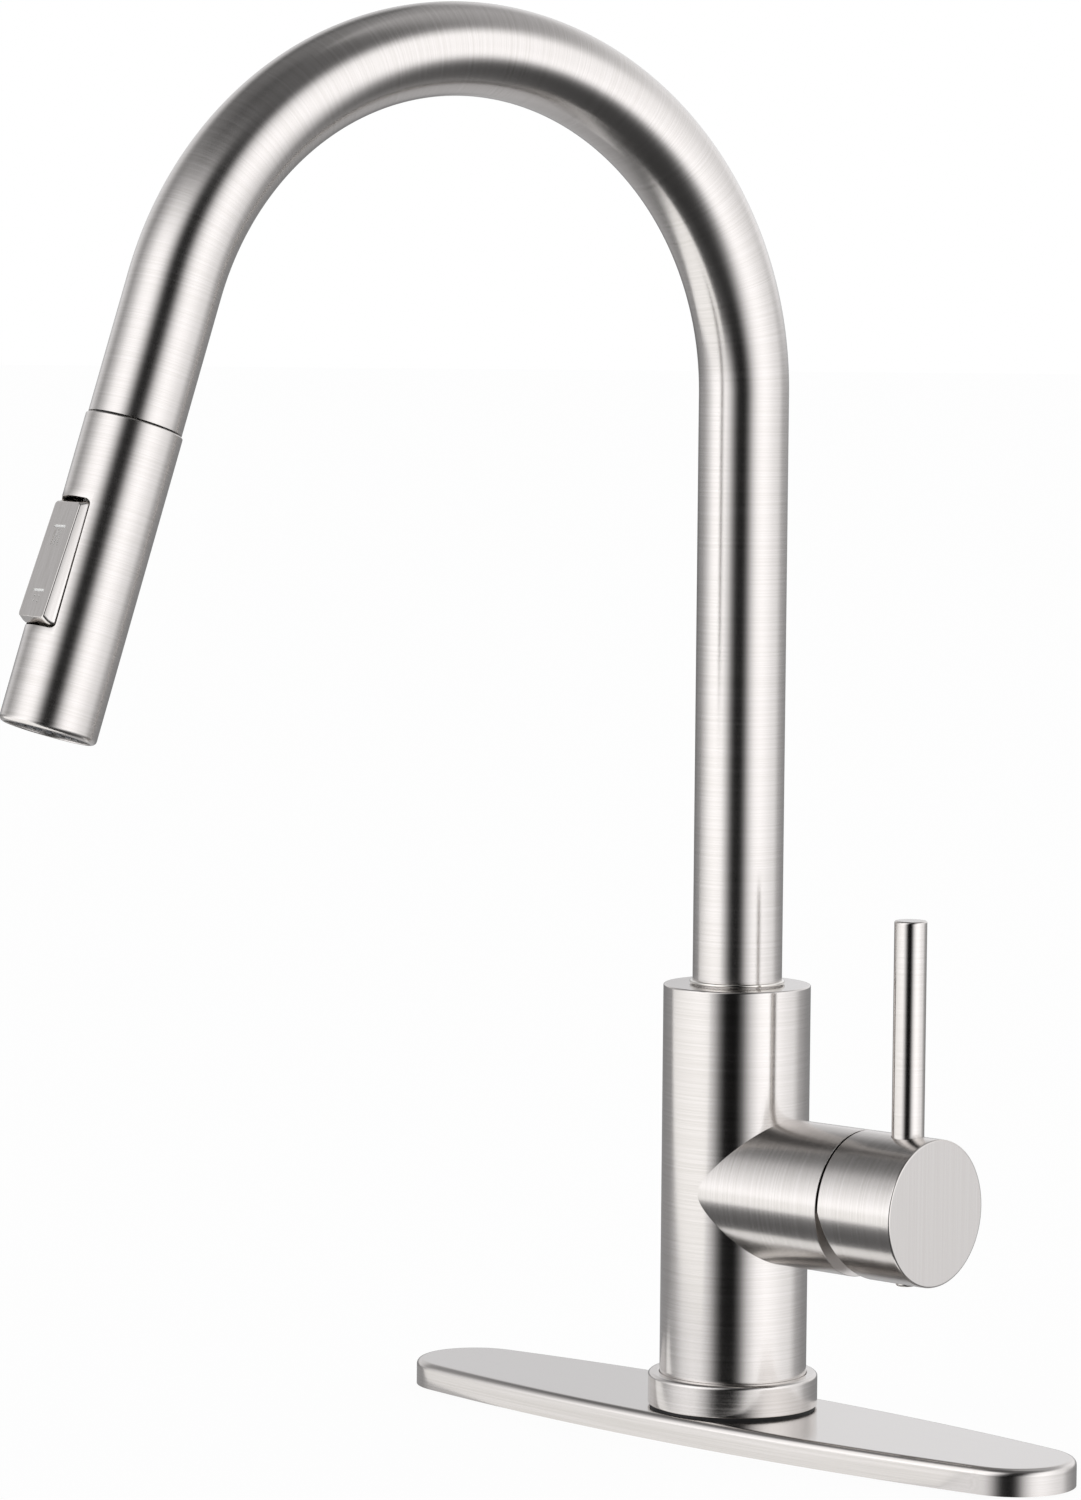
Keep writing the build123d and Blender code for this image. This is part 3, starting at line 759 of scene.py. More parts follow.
@dataclass
class DeckPlate:
    """Stamped oval cover that closes the sink's three holes."""

    finishes: FinishSet
    length: float = 251.2
    width: float = 54.5
    end_radius: float = 18.9
    wall: float = 1.2
    edge: float = 2.0
    hole: float = 17.5
    end_steps: int = 28
    side_steps: int = 60
    edge_steps: int = 6

    def __post_init__(self) -> None:
        """Read the plate's height from the frame."""
        self.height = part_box("deck_plate")[1].z / MM

    def outline(self, inset: float) -> list[tuple[float, float]]:
        """Points round the oval, moved in by inset: two end arcs and two long side arcs."""
        half_length = self.length / 2
        half_width = self.width / 2
        end_centre = half_length - self.end_radius
        bow = (end_centre**2 + half_width**2 - self.end_radius**2) / (2 * (half_width - self.end_radius))
        lean = math.atan2(bow - half_width, end_centre)
        points = []
        for turn in (0, math.pi):
            cos, sin = math.cos(turn), math.sin(turn)
            for k in range(self.end_steps):
                angle = -lean + 2 * lean * k / self.end_steps
                x = end_centre + (self.end_radius - inset) * math.cos(angle)
                y = (self.end_radius - inset) * math.sin(angle)
                points.append((x * cos - y * sin, x * sin + y * cos))
            for k in range(self.side_steps):
                angle = lean + (math.pi - 2 * lean) * k / self.side_steps
                x = (bow - inset) * math.cos(angle)
                y = (bow - inset) * math.sin(angle) - (bow - half_width)
                points.append((x * cos - y * sin, x * sin + y * cos))
        return points

    def build(self) -> None:
        """Loft the plate: wall, rounded edge, top, hole and hollow underside."""
        outer = self.outline(0)
        circle = [math.atan2(y, x) for x, y in outer]

        def oval(inset: float, height: float) -> list[Vector]:
            return [Vector((x, y, height)) * MM for x, y in self.outline(inset)]

        def hole(height: float) -> list[Vector]:
            return [Vector((self.hole * math.cos(a), self.hole * math.sin(a), height)) * MM for a in circle]

        rings = [oval(0, 0), oval(0, HOLD), oval(0, self.height - self.edge - HOLD)]
        for k in range(self.edge_steps + 1):
            angle = math.pi / 2 * k / self.edge_steps
            inset = self.edge * (1 - math.cos(angle))
            rings.append(oval(inset, self.height - self.edge * (1 - math.sin(angle))))
        side_points = len(rings) * len(outer)
        under = self.height - self.wall
        rings += [oval(self.edge + HOLD, self.height), hole(self.height), hole(under)]
        rings += [oval(self.wall, under), oval(self.wall, 0)]
        piece = MeshShop.from_rings("deck_plate_cover", rings, True)
        self.lay_out(piece.data, outer, side_points)
        for poly in piece.data.polygons:
            poly.material_index = 1 if poly.normal.z > FLAT else 0
        dress(piece, "root", ["deck_plate"],
              [self.finishes.long_nickel, self.finishes.face_nickel])

    @staticmethod
    def lay_out(mesh: Mesh, outer: Outline, side_points: int) -> None:
        """Lay the wall and rounded edge out by the length round the oval, and the rest by x and y.

        Args:
            mesh: The cover's mesh.
            outer: The oval's outline.
            side_points: How many of the mesh's first points are on the wall and rounded edge.
        """
        lengths = [0.0]
        for (ax, ay), (bx, by) in zip(outer, outer[1:]):
            lengths.append(lengths[-1] + math.hypot(bx - ax, by - ay))
        order = {tuple(v.co): v.index for v in mesh.vertices}

        def to_lay(point: Vector) -> Vector:
            index = order[tuple(point)]
            if index < side_points:
                return Vector((lengths[index % len(outer)], point.z / MM, 0))
            return Vector((point.x / MM, point.y / MM, 0))

        MeshShop.lay_out(mesh, to_lay, is_round=False)


@dataclass
class Column:
    """Turned column with its base ring and side branch."""

    finishes: FinishSet
    radius: float = 22.25
    bore: float = 20.0
    foot_bore: float = 17.0
    tube_gap: float = 13.65
    neck_length: float = 30.0
    neck_taper: float = 4.0
    sump: float = 28.0
    waist: float = 26.0
    edge: float = 0.5
    ring_radius: float = 25.7
    ring_edge: float = 1.1
    branch_radius: float = 21.9
    branch_bore: float = 17.9
    valve_height: float = 75.6

    def __post_init__(self) -> None:
        """Read heights and reaches from the frame."""
        low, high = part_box("faucet_body")
        self.low, self.top = low.z / MM, high.z / MM
        self.ring_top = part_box("base_ring")[1].z / MM
        self.branch_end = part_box("valve_branch")[1].x / MM
        self.axle = Axle((0, 0, 0))
        self.valve_axle = Axle((0, 0, self.valve_height), (1, 0, 0), (0, 0, 1))

    def saddle(self, radius: float, angle: float) -> float:
        """Where the branch's wall meets the column, along the valve's axis."""
        across = radius * math.sin(angle)
        return math.sqrt(self.radius**2 - across**2) + 0.03

    def build(self) -> None:
        """Make the column, base ring and branch."""
        neck = self.top - self.neck_length
        rows = [(self.radius, self.valve_height + reach) for reach in (-self.waist, self.waist)]
        outline = [
            (self.foot_bore, self.low), (self.radius, self.low, 0.2), *rows,
            (self.radius, self.top, self.edge), (self.tube_gap, self.top, 0.2), (self.tube_gap, neck),
            (self.bore, neck - self.neck_taper), (self.bore, self.sump), (self.foot_bore, self.sump),
        ]
        column = MeshShop.lathe("column", self.axle, outline, True, 192)
        inside, outside = 5, self.radius + 3
        cutter = MeshShop.lathe("cutter", self.valve_axle, [
            (0, inside), (self.branch_bore, inside), (self.branch_bore, outside), (0, outside),
        ], False, 96)
        MeshShop.carve(column, cutter, self.axle)
        dress(column, "root", ["faucet_body"], [self.finishes.round_nickel])

        inner = self.radius + 0.1
        ring = MeshShop.lathe("column_base_ring", self.axle, [
            (inner, self.low), (self.ring_radius, self.low, 0.3),
            (self.ring_radius, self.ring_top, self.ring_edge), (inner, self.ring_top, 0.3),
        ], True, 192)
        dress(ring, "root", ["base_ring"], [self.finishes.round_nickel])

        stations: list[Station] = []
        for radius, offset in ((self.branch_bore, 0.0), (self.branch_radius, 0.0), (self.branch_radius, HOLD)):
            stations.append(lambda a, r=radius, o=offset: (r, self.saddle(r, a) + o))
        lip = self.branch_end - 5
        stations += fixed(rounded([
            (self.branch_radius, lip), (self.branch_radius, self.branch_end, 0.15),
            (self.branch_bore, self.branch_end, 0.3), (self.branch_bore, lip),
        ]))
        branch = MeshShop.turned("side_branch", self.valve_axle, stations, True)
        dress(branch, "root", ["valve_branch"], [self.finishes.valve_nickel])


@dataclass
class ValveHandle:
    """Bonnet dome on the branch, and the hub, lever and screw cap that tilt over it."""

    finishes: FinishSet
    pivot: float = 39.5
    dome_radius: float = 16.5
    dome_wall: float = 1.2
    dome_foot: float = 17.6
    dome_opening: float = 8.6
    hub_radius: float = 21.9
    cavity: float = 17.4
    wedge: float = 7.0
    chamfer: float = 0.5
    rear_edge: float = 0.15
    lever_radius: float = 4.83
    valve_height: float = 75.6

    def __post_init__(self) -> None:
        """Read the hub's, lever's and cap's places from the frame."""
        low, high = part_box("handle_hub")
        self.start, self.end = low.x / MM, high.x / MM
        lever_low, lever_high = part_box("lever_rod")
        self.lever_foot, self.lever_top = lever_low.z / MM, lever_high.z / MM
        self.lever_reach = (lever_low.x + lever_high.x) / 2 / MM
        self.axle = Axle((0, 0, self.valve_height), (1, 0, 0), (0, 0, 1))

    def rear(self, radius: float, angle: float) -> float:
        """How far along the axis the hub's rear face is: flat above the middle, cut back below."""
        drop = max(0.0, -radius * math.cos(angle))
        return self.start + self.wedge / self.hub_radius * drop

    def rim(self, angle: float) -> tuple[float, float]:
        """Where the rear face meets the round hollow, at one angle, as (radius, along)."""
        slope = self.wedge / self.hub_radius * max(0.0, -math.cos(angle))
        reach = self.start - self.pivot
        a = slope**2 + 1
        b = 2 * reach * slope
        c = reach**2 - self.cavity**2
        radius = (-b + math.sqrt(b * b - 4 * a * c)) / (2 * a)
        return radius, self.start + slope * radius

    def hollow(self, angle: float, share: float) -> tuple[float, float]:
        """A point on the round hollow, from its rim at share 0 to its pole at share 1."""
        radius, along = self.rim(angle)
        lean = math.atan2(radius, along - self.pivot) * (1 - share)
        return self.cavity * math.sin(lean), self.pivot + self.cavity * math.cos(lean)

    def build(self) -> None:
        """Make the dome, hub, lever and cap."""
        self.build_dome()
        self.build_hub()
        lever = MeshShop.lathe("lever", Axle((self.lever_reach, 0, 0)), [
            (0, self.lever_foot), (self.lever_radius, self.lever_foot), (self.lever_radius, self.lever_top, 0.6),
            (0, self.lever_top),
        ], False, 96)
        dress(lever, "handle", ["lever_rod"], [self.finishes.round_nickel])
        low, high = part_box("screw_cap")
        radius = (high.x - low.x) / 2 / MM
        cap = MeshShop.lathe("screw_cap_button", Axle((self.lever_reach, 0, 0)), [
            (0, low.z / MM), (radius, low.z / MM, 0.55), (radius, high.z / MM), (0, high.z / MM),
        ], False, 64)
        dress(cap, "handle", ["screw_cap"], [self.finishes.by_slot["polished_nickel"]])

    def build_dome(self) -> None:
        """Make the thin dome over the cartridge."""
        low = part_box("bonnet_dome")[0].x / MM
        shoulder = low + self.dome_wall
        stations = fixed([(self.dome_foot, low), (self.dome_foot, shoulder)])

        def arc(radius: float, first: float, last: float, steps: int = 12) -> list[Station]:
            leans = [first + (last - first) * k / steps for k in range(steps + 1)]
            return fixed([(radius * math.sin(t), self.pivot + radius * math.cos(t)) for t in leans])

        inner = self.dome_radius - self.dome_wall
        opening = math.asin(self.dome_opening / self.dome_radius)
        inner_opening = math.asin(self.dome_opening / inner)
        stations += arc(self.dome_radius, math.acos((shoulder - self.pivot) / self.dome_radius), opening)
        stations += arc(inner, inner_opening, math.acos((low - self.pivot) / inner))
        dome = MeshShop.turned("bonnet", self.axle, stations, True, 128)
        dress(dome, "root", ["bonnet_dome"], [self.finishes.by_slot["polished_nickel"]])

    def build_hub(self) -> None:
        """Make the hub, cut back below its middle, and bore it for the lever and the screw cap."""
        front = rounded([
            (0, self.end), (self.hub_radius, self.end, self.chamfer), (self.hub_radius, self.end - 3),
        ], 3)
        stations = fixed(front)
        edge = [(0.0, 3 * HOLD), (0.0, 0.18)]
        for k in range(5):
            turn = math.pi / 2 * k / 4
            edge.append((self.rear_edge * (1 - math.cos(turn)), self.rear_edge * (1 - math.sin(turn))))
        edge.append((2 * HOLD, 0.0))
        for inset, depth in edge:
            radius = self.hub_radius - inset
            stations.append(lambda a, r=radius, d=depth: (r, self.rear(r, a) + d))
        stations += [lambda a, t=k / 16: self.hollow(a, t) for k in range(17)]
        hub = MeshShop.turned("handle_hub_shell", self.axle, stations, False)
        wide = self.lever_radius + 0.12
        bore = MeshShop.lathe("cutter", Axle((self.lever_reach, 0, 0)), [
            (0, self.lever_foot), (wide, self.lever_foot), (wide, self.lever_top), (0, self.lever_top),
        ], False, 64)
        MeshShop.carve(hub, bore, self.axle)
        for poly in hub.data.polygons:
            poly.material_index = 1 if poly.normal.x > FLAT else 0
        dress(hub, "handle", ["handle_hub"],
              [self.finishes.valve_nickel, self.finishes.face_nickel])


@dataclass
class Spout:
    """Gooseneck tube with its collar and the hose inside it."""

    finishes: FinishSet
    radius: float = 13.5
    bore: float = 12.0
    foot: float = 100.0
    arch_radius: float = 99.0
    arch_height: float = 314.5
    arch_turn: float = 162.3
    run: float = 41.0
    swing: float = 15.2
    gap: float = 0.25
    tube_step: float = 1.6
    hose_radius: float = 4.95
    hose_step: float = 4.0
    hose_end: float = 2.0
    hose_bend: float = 75.0

    def __post_init__(self) -> None:
        """Work out the frames of the spout's plane and of its run."""
        turn = math.radians(self.arch_turn)
        self.down = (math.sin(turn), math.cos(turn))
        self.end = (self.arch_radius * (1 - self.down[1]), self.arch_height + self.arch_radius * self.down[0])
        swing = math.radians(self.swing)
        self.axle = Axle((0, 0, 0), (0, 0, 1), (-math.sin(swing), -math.cos(swing), 0))

    def centre(self, along: float) -> Vector:
        """Point of the spout's centre line, in its plane, for a length measured up from the worktop."""
        arch = self.arch_radius * math.radians(self.arch_turn)
        if along <= self.arch_height:
            return Vector((0, 0, along))
        if along <= self.arch_height + arch:
            angle = (along - self.arch_height) / self.arch_radius
            x = self.arch_radius * (1 - math.cos(angle))
            return Vector((x, 0, self.arch_height + self.arch_radius * math.sin(angle)))
        left = along - self.arch_height - arch
        return Vector((self.end[0] + left * self.down[0], 0, self.end[1] + left * self.down[1]))

    def line(self, start: float, stop: float, step: float) -> list[Vector]:
        """Points of the centre line between two lengths, close together on the arch."""
        arch = self.arch_radius * math.radians(self.arch_turn)
        bends = [self.arch_height, self.arch_height + arch]
        inside = max(start, bends[0])
        marks = [start] if start < bends[0] else []
        stop_arch = min(stop, bends[1])
        count = max(1, round((stop_arch - inside) / step)) if stop_arch > inside else 0
        marks += [inside + (stop_arch - inside) * k / count for k in range(count + 1)] if count else []
        if stop > bends[1]:
            marks += [bends[1] + HOLD * 4, stop]
        return [self.centre(mark) for mark in marks]

    def to_lay(self, point: Vector) -> Vector:
        """Where a row point lies on the straightened spout, in millimetres."""
        spot = self.axle.matrix().inverted() @ point
        if spot.z <= self.arch_height and spot.x < self.arch_radius:
            return Vector((spot.x, spot.y, spot.z))
        x, z = spot.x - self.arch_radius, spot.z - self.arch_height
        angle = math.atan2(z, -x)
        turn = math.radians(self.arch_turn)
        if angle <= turn and z > 0:
            across = self.arch_radius - math.hypot(x, z)
            return Vector((across, spot.y, self.arch_height + self.arch_radius * angle))
        dx, dz = spot.x - self.end[0], spot.z - self.end[1]
        along = dx * self.down[0] + dz * self.down[1]
        across = -(dx * -self.down[1] + dz * self.down[0])
        return Vector((across, spot.y, self.arch_height + self.arch_radius * turn + along))

    def mouth(self) -> float:
        """Length along the centre line at which the spout meets the spray head."""
        return self.arch_height + self.arch_radius * math.radians(self.arch_turn) + self.run

    def build(self) -> None:
        """Make the tube, its collar and the two stretches of hose."""
        tree = Repeats.sweep_tree()
        place = self.axle.matrix()
        nickel = self.finishes.tube_nickel
        path = path_curve(self.line(self.foot, self.mouth() - self.gap, self.tube_step))
        values = {"Radius": self.radius, "Sides": 112, "Ends": False, "Finish": nickel}
        tube = Repeats.run("spout_gooseneck", path, tree, values, place)
        wall = tube.modifiers.new("wall", "SOLIDIFY")
        wall.thickness = (self.radius - self.bore) * MM
        wall.offset = -1
        MeshShop.apply(tube)
        MeshShop.lay_out(tube.data, self.to_lay)
        dress(tube, "spout", ["spout_tube"], [nickel])

        low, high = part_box("spout_collar")
        outer = (high.x - low.x) / 2 / MM
        collar = MeshShop.lathe("spout_foot_collar", Axle((0, 0, 0)), [
            (self.radius + 0.01, low.z / MM), (outer, low.z / MM, 0.3), (outer, high.z / MM, 0.35),
            (self.radius + 0.01, high.z / MM),
        ], True, 128)
        dress(collar, "spout", ["spout_collar"], [self.finishes.by_slot["polished_nickel"]])
        self.build_hose(tree, place)

    def build_hose(self, tree: NodeTree, place: Matrix) -> None:
        """Make the hose in two stretches that meet at the crown."""
        braid = self.finishes.by_slot["braided_nylon"]
        crown = self.arch_height + self.arch_radius * math.pi / 2
        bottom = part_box("pull_down_hose")[0].z / MM
        mouth = self.mouth()
        values = {"Radius": self.hose_radius, "Sides": 40, "Ends": True, "Finish": braid}
        path = path_curve(self.line(bottom, crown, self.hose_step))
        lower = Repeats.run("hose_in_column", path, tree, values, place)
        MeshShop.lay_out(lower.data, self.to_lay)
        dress(lower, "spout", ["pull_down_hose"], [braid])
        points = self.line(crown, mouth - self.run, self.hose_step)[:-1]
        points += [self.centre(mouth - self.run + k * (self.run - self.hose_end) / 24) for k in range(25)]
        upper = Repeats.run("hose_in_mouth", path_curve(points), tree, values, place)
        MeshShop.lay_out(upper.data, self.to_lay)
        upper.data.materials.clear()
        upper.data.materials.append(braid)
        MeshShop.smooth(upper)
        start = place @ self.centre(mouth - self.hose_bend)
        stop = place @ self.centre(mouth - self.hose_end)
        direction = (place @ self.centre(mouth) - place @ self.centre(mouth - 20)).normalized()
        start = stop - direction * (stop - start).dot(direction)
        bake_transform(upper)
        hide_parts("pull_down_hose")
        log.info("%s: bends between the spout and the spray head", upper.name)


@dataclass
class SprayHead:
    """Metal sleeve of the spray head, its rocker button and its ring of nozzles."""

    finishes: FinishSet
    spout: Spout
    radius: float = 14.0
    wall: float = 1.6
    neck: float = 8.2
    length: float = 89.8
    button_top: float = 25.5
    button_length: float = 36.2
    button_width: float = 16.0
    button_face: float = 14.2
    button_back: float = 9.0
    button_pivot: float = 10.2
    button_tilt: float = 2.7
    symbol_depth: float = 0.3
    window_gap: float = 0.65
    window_corner: float = 1.6
    recess: float = 1.4
    mat: float = 84.0
    nozzle_circles: tuple[tuple[float, int], ...] = ((8.9, 18), (10.9, 24))

    def __post_init__(self) -> None:
        """Set the head's frame: z down its axis from the joint, x towards the button."""
        place = self.spout.axle.matrix()
        joint = place @ self.spout.centre(self.spout.mouth())
        down = self.spout.down
        swing = math.radians(self.spout.swing)
        out = (-math.sin(swing), -math.cos(swing))
        along = (out[0] * down[0], out[1] * down[0], down[1])
        side = (out[0] * -down[1], out[1] * -down[1], down[0])
        self.axle = Axle(tuple(joint / MM), along, side)
        self.middle = self.button_top + self.button_length / 2

    def build(self) -> None:
        """Make the sleeve, the button and the nozzles."""
        self.build_sleeve()
        self.build_button()
        self.build_nozzles()

    def build_sleeve(self) -> None:
        """Turn the sleeve and cut the button's window, with a softened edge."""
        inner = self.radius - self.wall
        gap = self.spout.gap
        bottom = self.button_top + self.button_length
        rows = [(self.radius, z) for z in (self.button_top - 3, bottom + 3)]
        sleeve = MeshShop.lathe("spray_head_sleeve", self.axle, [
            (self.neck, gap), (self.radius, gap, 0.4), *rows, (self.radius, self.length, 1.5),
            (inner, self.length, 0.3), (inner, gap + 2), (self.neck, gap + 2),
        ], True, 192)
        half = self.button_width / 2 + self.window_gap
        low = (2, -half, self.button_top - self.window_gap)
        high = (20, half, bottom + self.window_gap)
        MeshShop.carve(sleeve, MeshShop.block("cutter", self.axle, low, high, self.window_corner), self.axle)
        bevel = sleeve.modifiers.new("soft edge", "BEVEL")
        bevel.width = 0.22 * MM
        bevel.segments = 2
        bevel.limit_method = "ANGLE"
        bevel.angle_limit = math.radians(50)
        MeshShop.apply(sleeve)
        dress(sleeve, "spray_head", ["head_shell"], [self.finishes.tube_nickel])

    def pad_ring(self, inset_y: float, inset_z: float, x: float, corner: float) -> list[Vector]:
        """One outline of the button at a depth, tilted about its pin."""
        tilt = math.radians(self.button_tilt)
        half = (self.button_width / 2 - inset_y, self.button_length / 2 - inset_z)
        ring = []
        for y, z in rounded_rectangle(*half, corner):
            dx = x - self.button_pivot
            turned_x = self.button_pivot + dx * math.cos(tilt) + z * math.sin(tilt)
            turned_z = z * math.cos(tilt) - dx * math.sin(tilt)
            ring.append(self.axle.point(turned_x, y, self.middle + turned_z))
        return ring

    def build_button(self) -> None:
        """Loft the rocker: straight sides, bevelled long edges, and a flat face with two symbols cut in it."""
        face, rear = self.button_face, self.button_back
        # Each step is the outline's inset across and along, its depth and its corners' radius.
        steps = [(0.5, 0.5, rear, 1.0), (0, 0, rear + 0.5, 1.2), (0, 0, face - 2.9, 1.2)]
        steps += [(0.03, 0.03, face - 2.75, 1.2), (0.19, 0.3, face - 1.8, 1.2), (0.45, 1.1, face - 0.4, 1.2)]
        for k in range(1, 6):
            turn = math.pi / 2 * k / 5
            soft = 0.35 * (1 - math.cos(turn))
            steps.append((0.5 + soft, 1.15 + soft, face - 0.35 + 0.35 * math.sin(turn), 1.1))
        rings = [self.pad_ring(*step) for step in steps]
        rings.append(self.pad_ring(1.1, 1.8, face, 0.8))
        poles = [[sum(ring, Vector()) / len(ring)] for ring in (rings[0], rings[-1])]
        button = MeshShop.from_rings("rocker_pad", [poles[0], *rings, poles[1]], False)
        back = self.axle.matrix().inverted()
        for cutter in self.symbols():
            MeshShop.carve(button, cutter)
        MeshShop.lay_out(button.data, lambda p: Vector(((back @ p).z, (back @ p).y, (back @ p).x)), False)
        tilted = self.tilted().inverted() @ back
        level = face - self.button_pivot - self.symbol_depth / 2
        # Faces inside the symbols' grooves take the pale fill, which paints a highlight on them.
        for poly in button.data.polygons:
            spot = tilted @ poly.center
            in_symbol = abs(spot.y) < 4 and 3 < abs(spot.z) < 15 and 2 < spot.x < level
            poly.material_index = 1 if in_symbol else 0
        dress(button, "button", ["rocker_button"],
              [self.finishes.long_nickel, self.finishes.symbol_highlight])

    def tilted(self) -> Matrix:
        """Matrix from the rocker's own frame, at its pin, to the head's."""
        turn = Matrix.Rotation(math.radians(self.button_tilt), 4, "Y")
        return Matrix.Translation((self.button_pivot, 0, self.middle)) @ turn

    def symbols(self) -> list[Object]:
        """Cutters for the plain symbols: a bar over lines for spray, and a bar over dots for stream."""
        upper, lower = -9.6, 9.2
        # Each mark is its place along and across the button, and its width and height.
        marks = [(upper, 0.0, 6.6, 0.8), (lower, 0.0, 6.2, 0.8)]
        marks += [(upper + 3.2, y, 0.42, 4.8) for y in (-1.7, 0.0, 1.7)]
        marks += [(lower + 1.6 + row * 1.5, y, 0.6, 0.7) for row in range(2) for y in (-1.3, 1.3)]
        cutters = []
        depth = self.button_face - self.button_pivot
        place = self.axle.matrix() @ self.tilted()
        for z, y, wide, tall in marks:
            low = (depth - self.symbol_depth, y - wide / 2, z - tall / 2)
            high = (depth + 1, y + wide / 2, z + tall / 2)
            box = MeshShop.block("cutter", Axle((0, 0, 0)), low, high, 0.12)
            box.data.transform(place @ Matrix.Scale(1 / MM, 4))
            cutters.append(box)
        return cutters

    def build_nozzles(self) -> None:
        """Set the silicone nozzles in circles on the mat behind the face."""
        tree = Repeats.circle_tree()
        silicone = self.finishes.by_slot["grey_silicone"]
        face = self.length - self.recess
        tip_end = face + 0.6
        for number, (radius, count) in enumerate(self.nozzle_circles):
            tip = MeshShop.lathe("tip", Axle((0, 0, 0)), [
                (0, self.mat), (0.75, self.mat), (0.7, tip_end, 0.2), (0.3, tip_end, 0.1), (0.25, face),
                (0, face),
            ], False, 16)
            tip.data.transform(Matrix.Scale(1 / MM, 4))
            ring = Repeats.run(f"nozzle_circle_{number + 1}", tip, tree,
                               {"Count": count, "Radius": radius, "Finish": silicone}, self.axle.matrix())
            dress(ring, "spray_head", [], [silicone])


@dataclass
class DeckClamp:
    """Threaded shank under the worktop."""

    finishes: FinishSet
    pitch: float = 2.0
    radius: float = 16.75
    ridge: float = 0.55
    root: float = 0.25
    plain_end: float = 8.6
    nut_gap: float = 1.0

    def build(self) -> None:
        """Wind the thread round the shank's lower part."""
        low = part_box("shank")[0].z / MM + self.plain_end
        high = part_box("mounting_nut")[0].z / MM - self.nut_gap
        tree = Repeats.thread_tree()
        holder = link_object("holder", bpy.data.meshes.new("holder"))
        brass = self.finishes.by_slot["brass"]
        thread = Repeats.run("shank_thread", holder, tree, {
            "Radius": self.radius - self.root, "Turns": (high - low) / self.pitch,
            "Length": high - low, "Ridge": self.ridge, "Finish": brass,
        }, Axle((0, 0, low)).matrix())
        dress(thread, "root", [], [brass])


class CarriedNodes:
    """CAD nodes whose own shape is shown, each with the finish of its slot."""

    def __init__(self, finishes: FinishSet) -> None:
        """Keep the finishes."""
        self.finishes = finishes

    def dress(self) -> None:
        """Set each CAD node's material from its record slot."""
        for entry in frame["record"]["subparts"]:
            node = frame["nodes"].get(entry["node"])
            if node is None:
                continue
            material = self.finishes.by_slot[entry["material_slot"]]
            for slot in node.material_slots:
                slot.link = "OBJECT"
                slot.material = material
            log.info("%s: %s", entry["node"], material.name)


# ---------------------------------------------------------------- studio


Stops = tuple[tuple[float, float], ...]


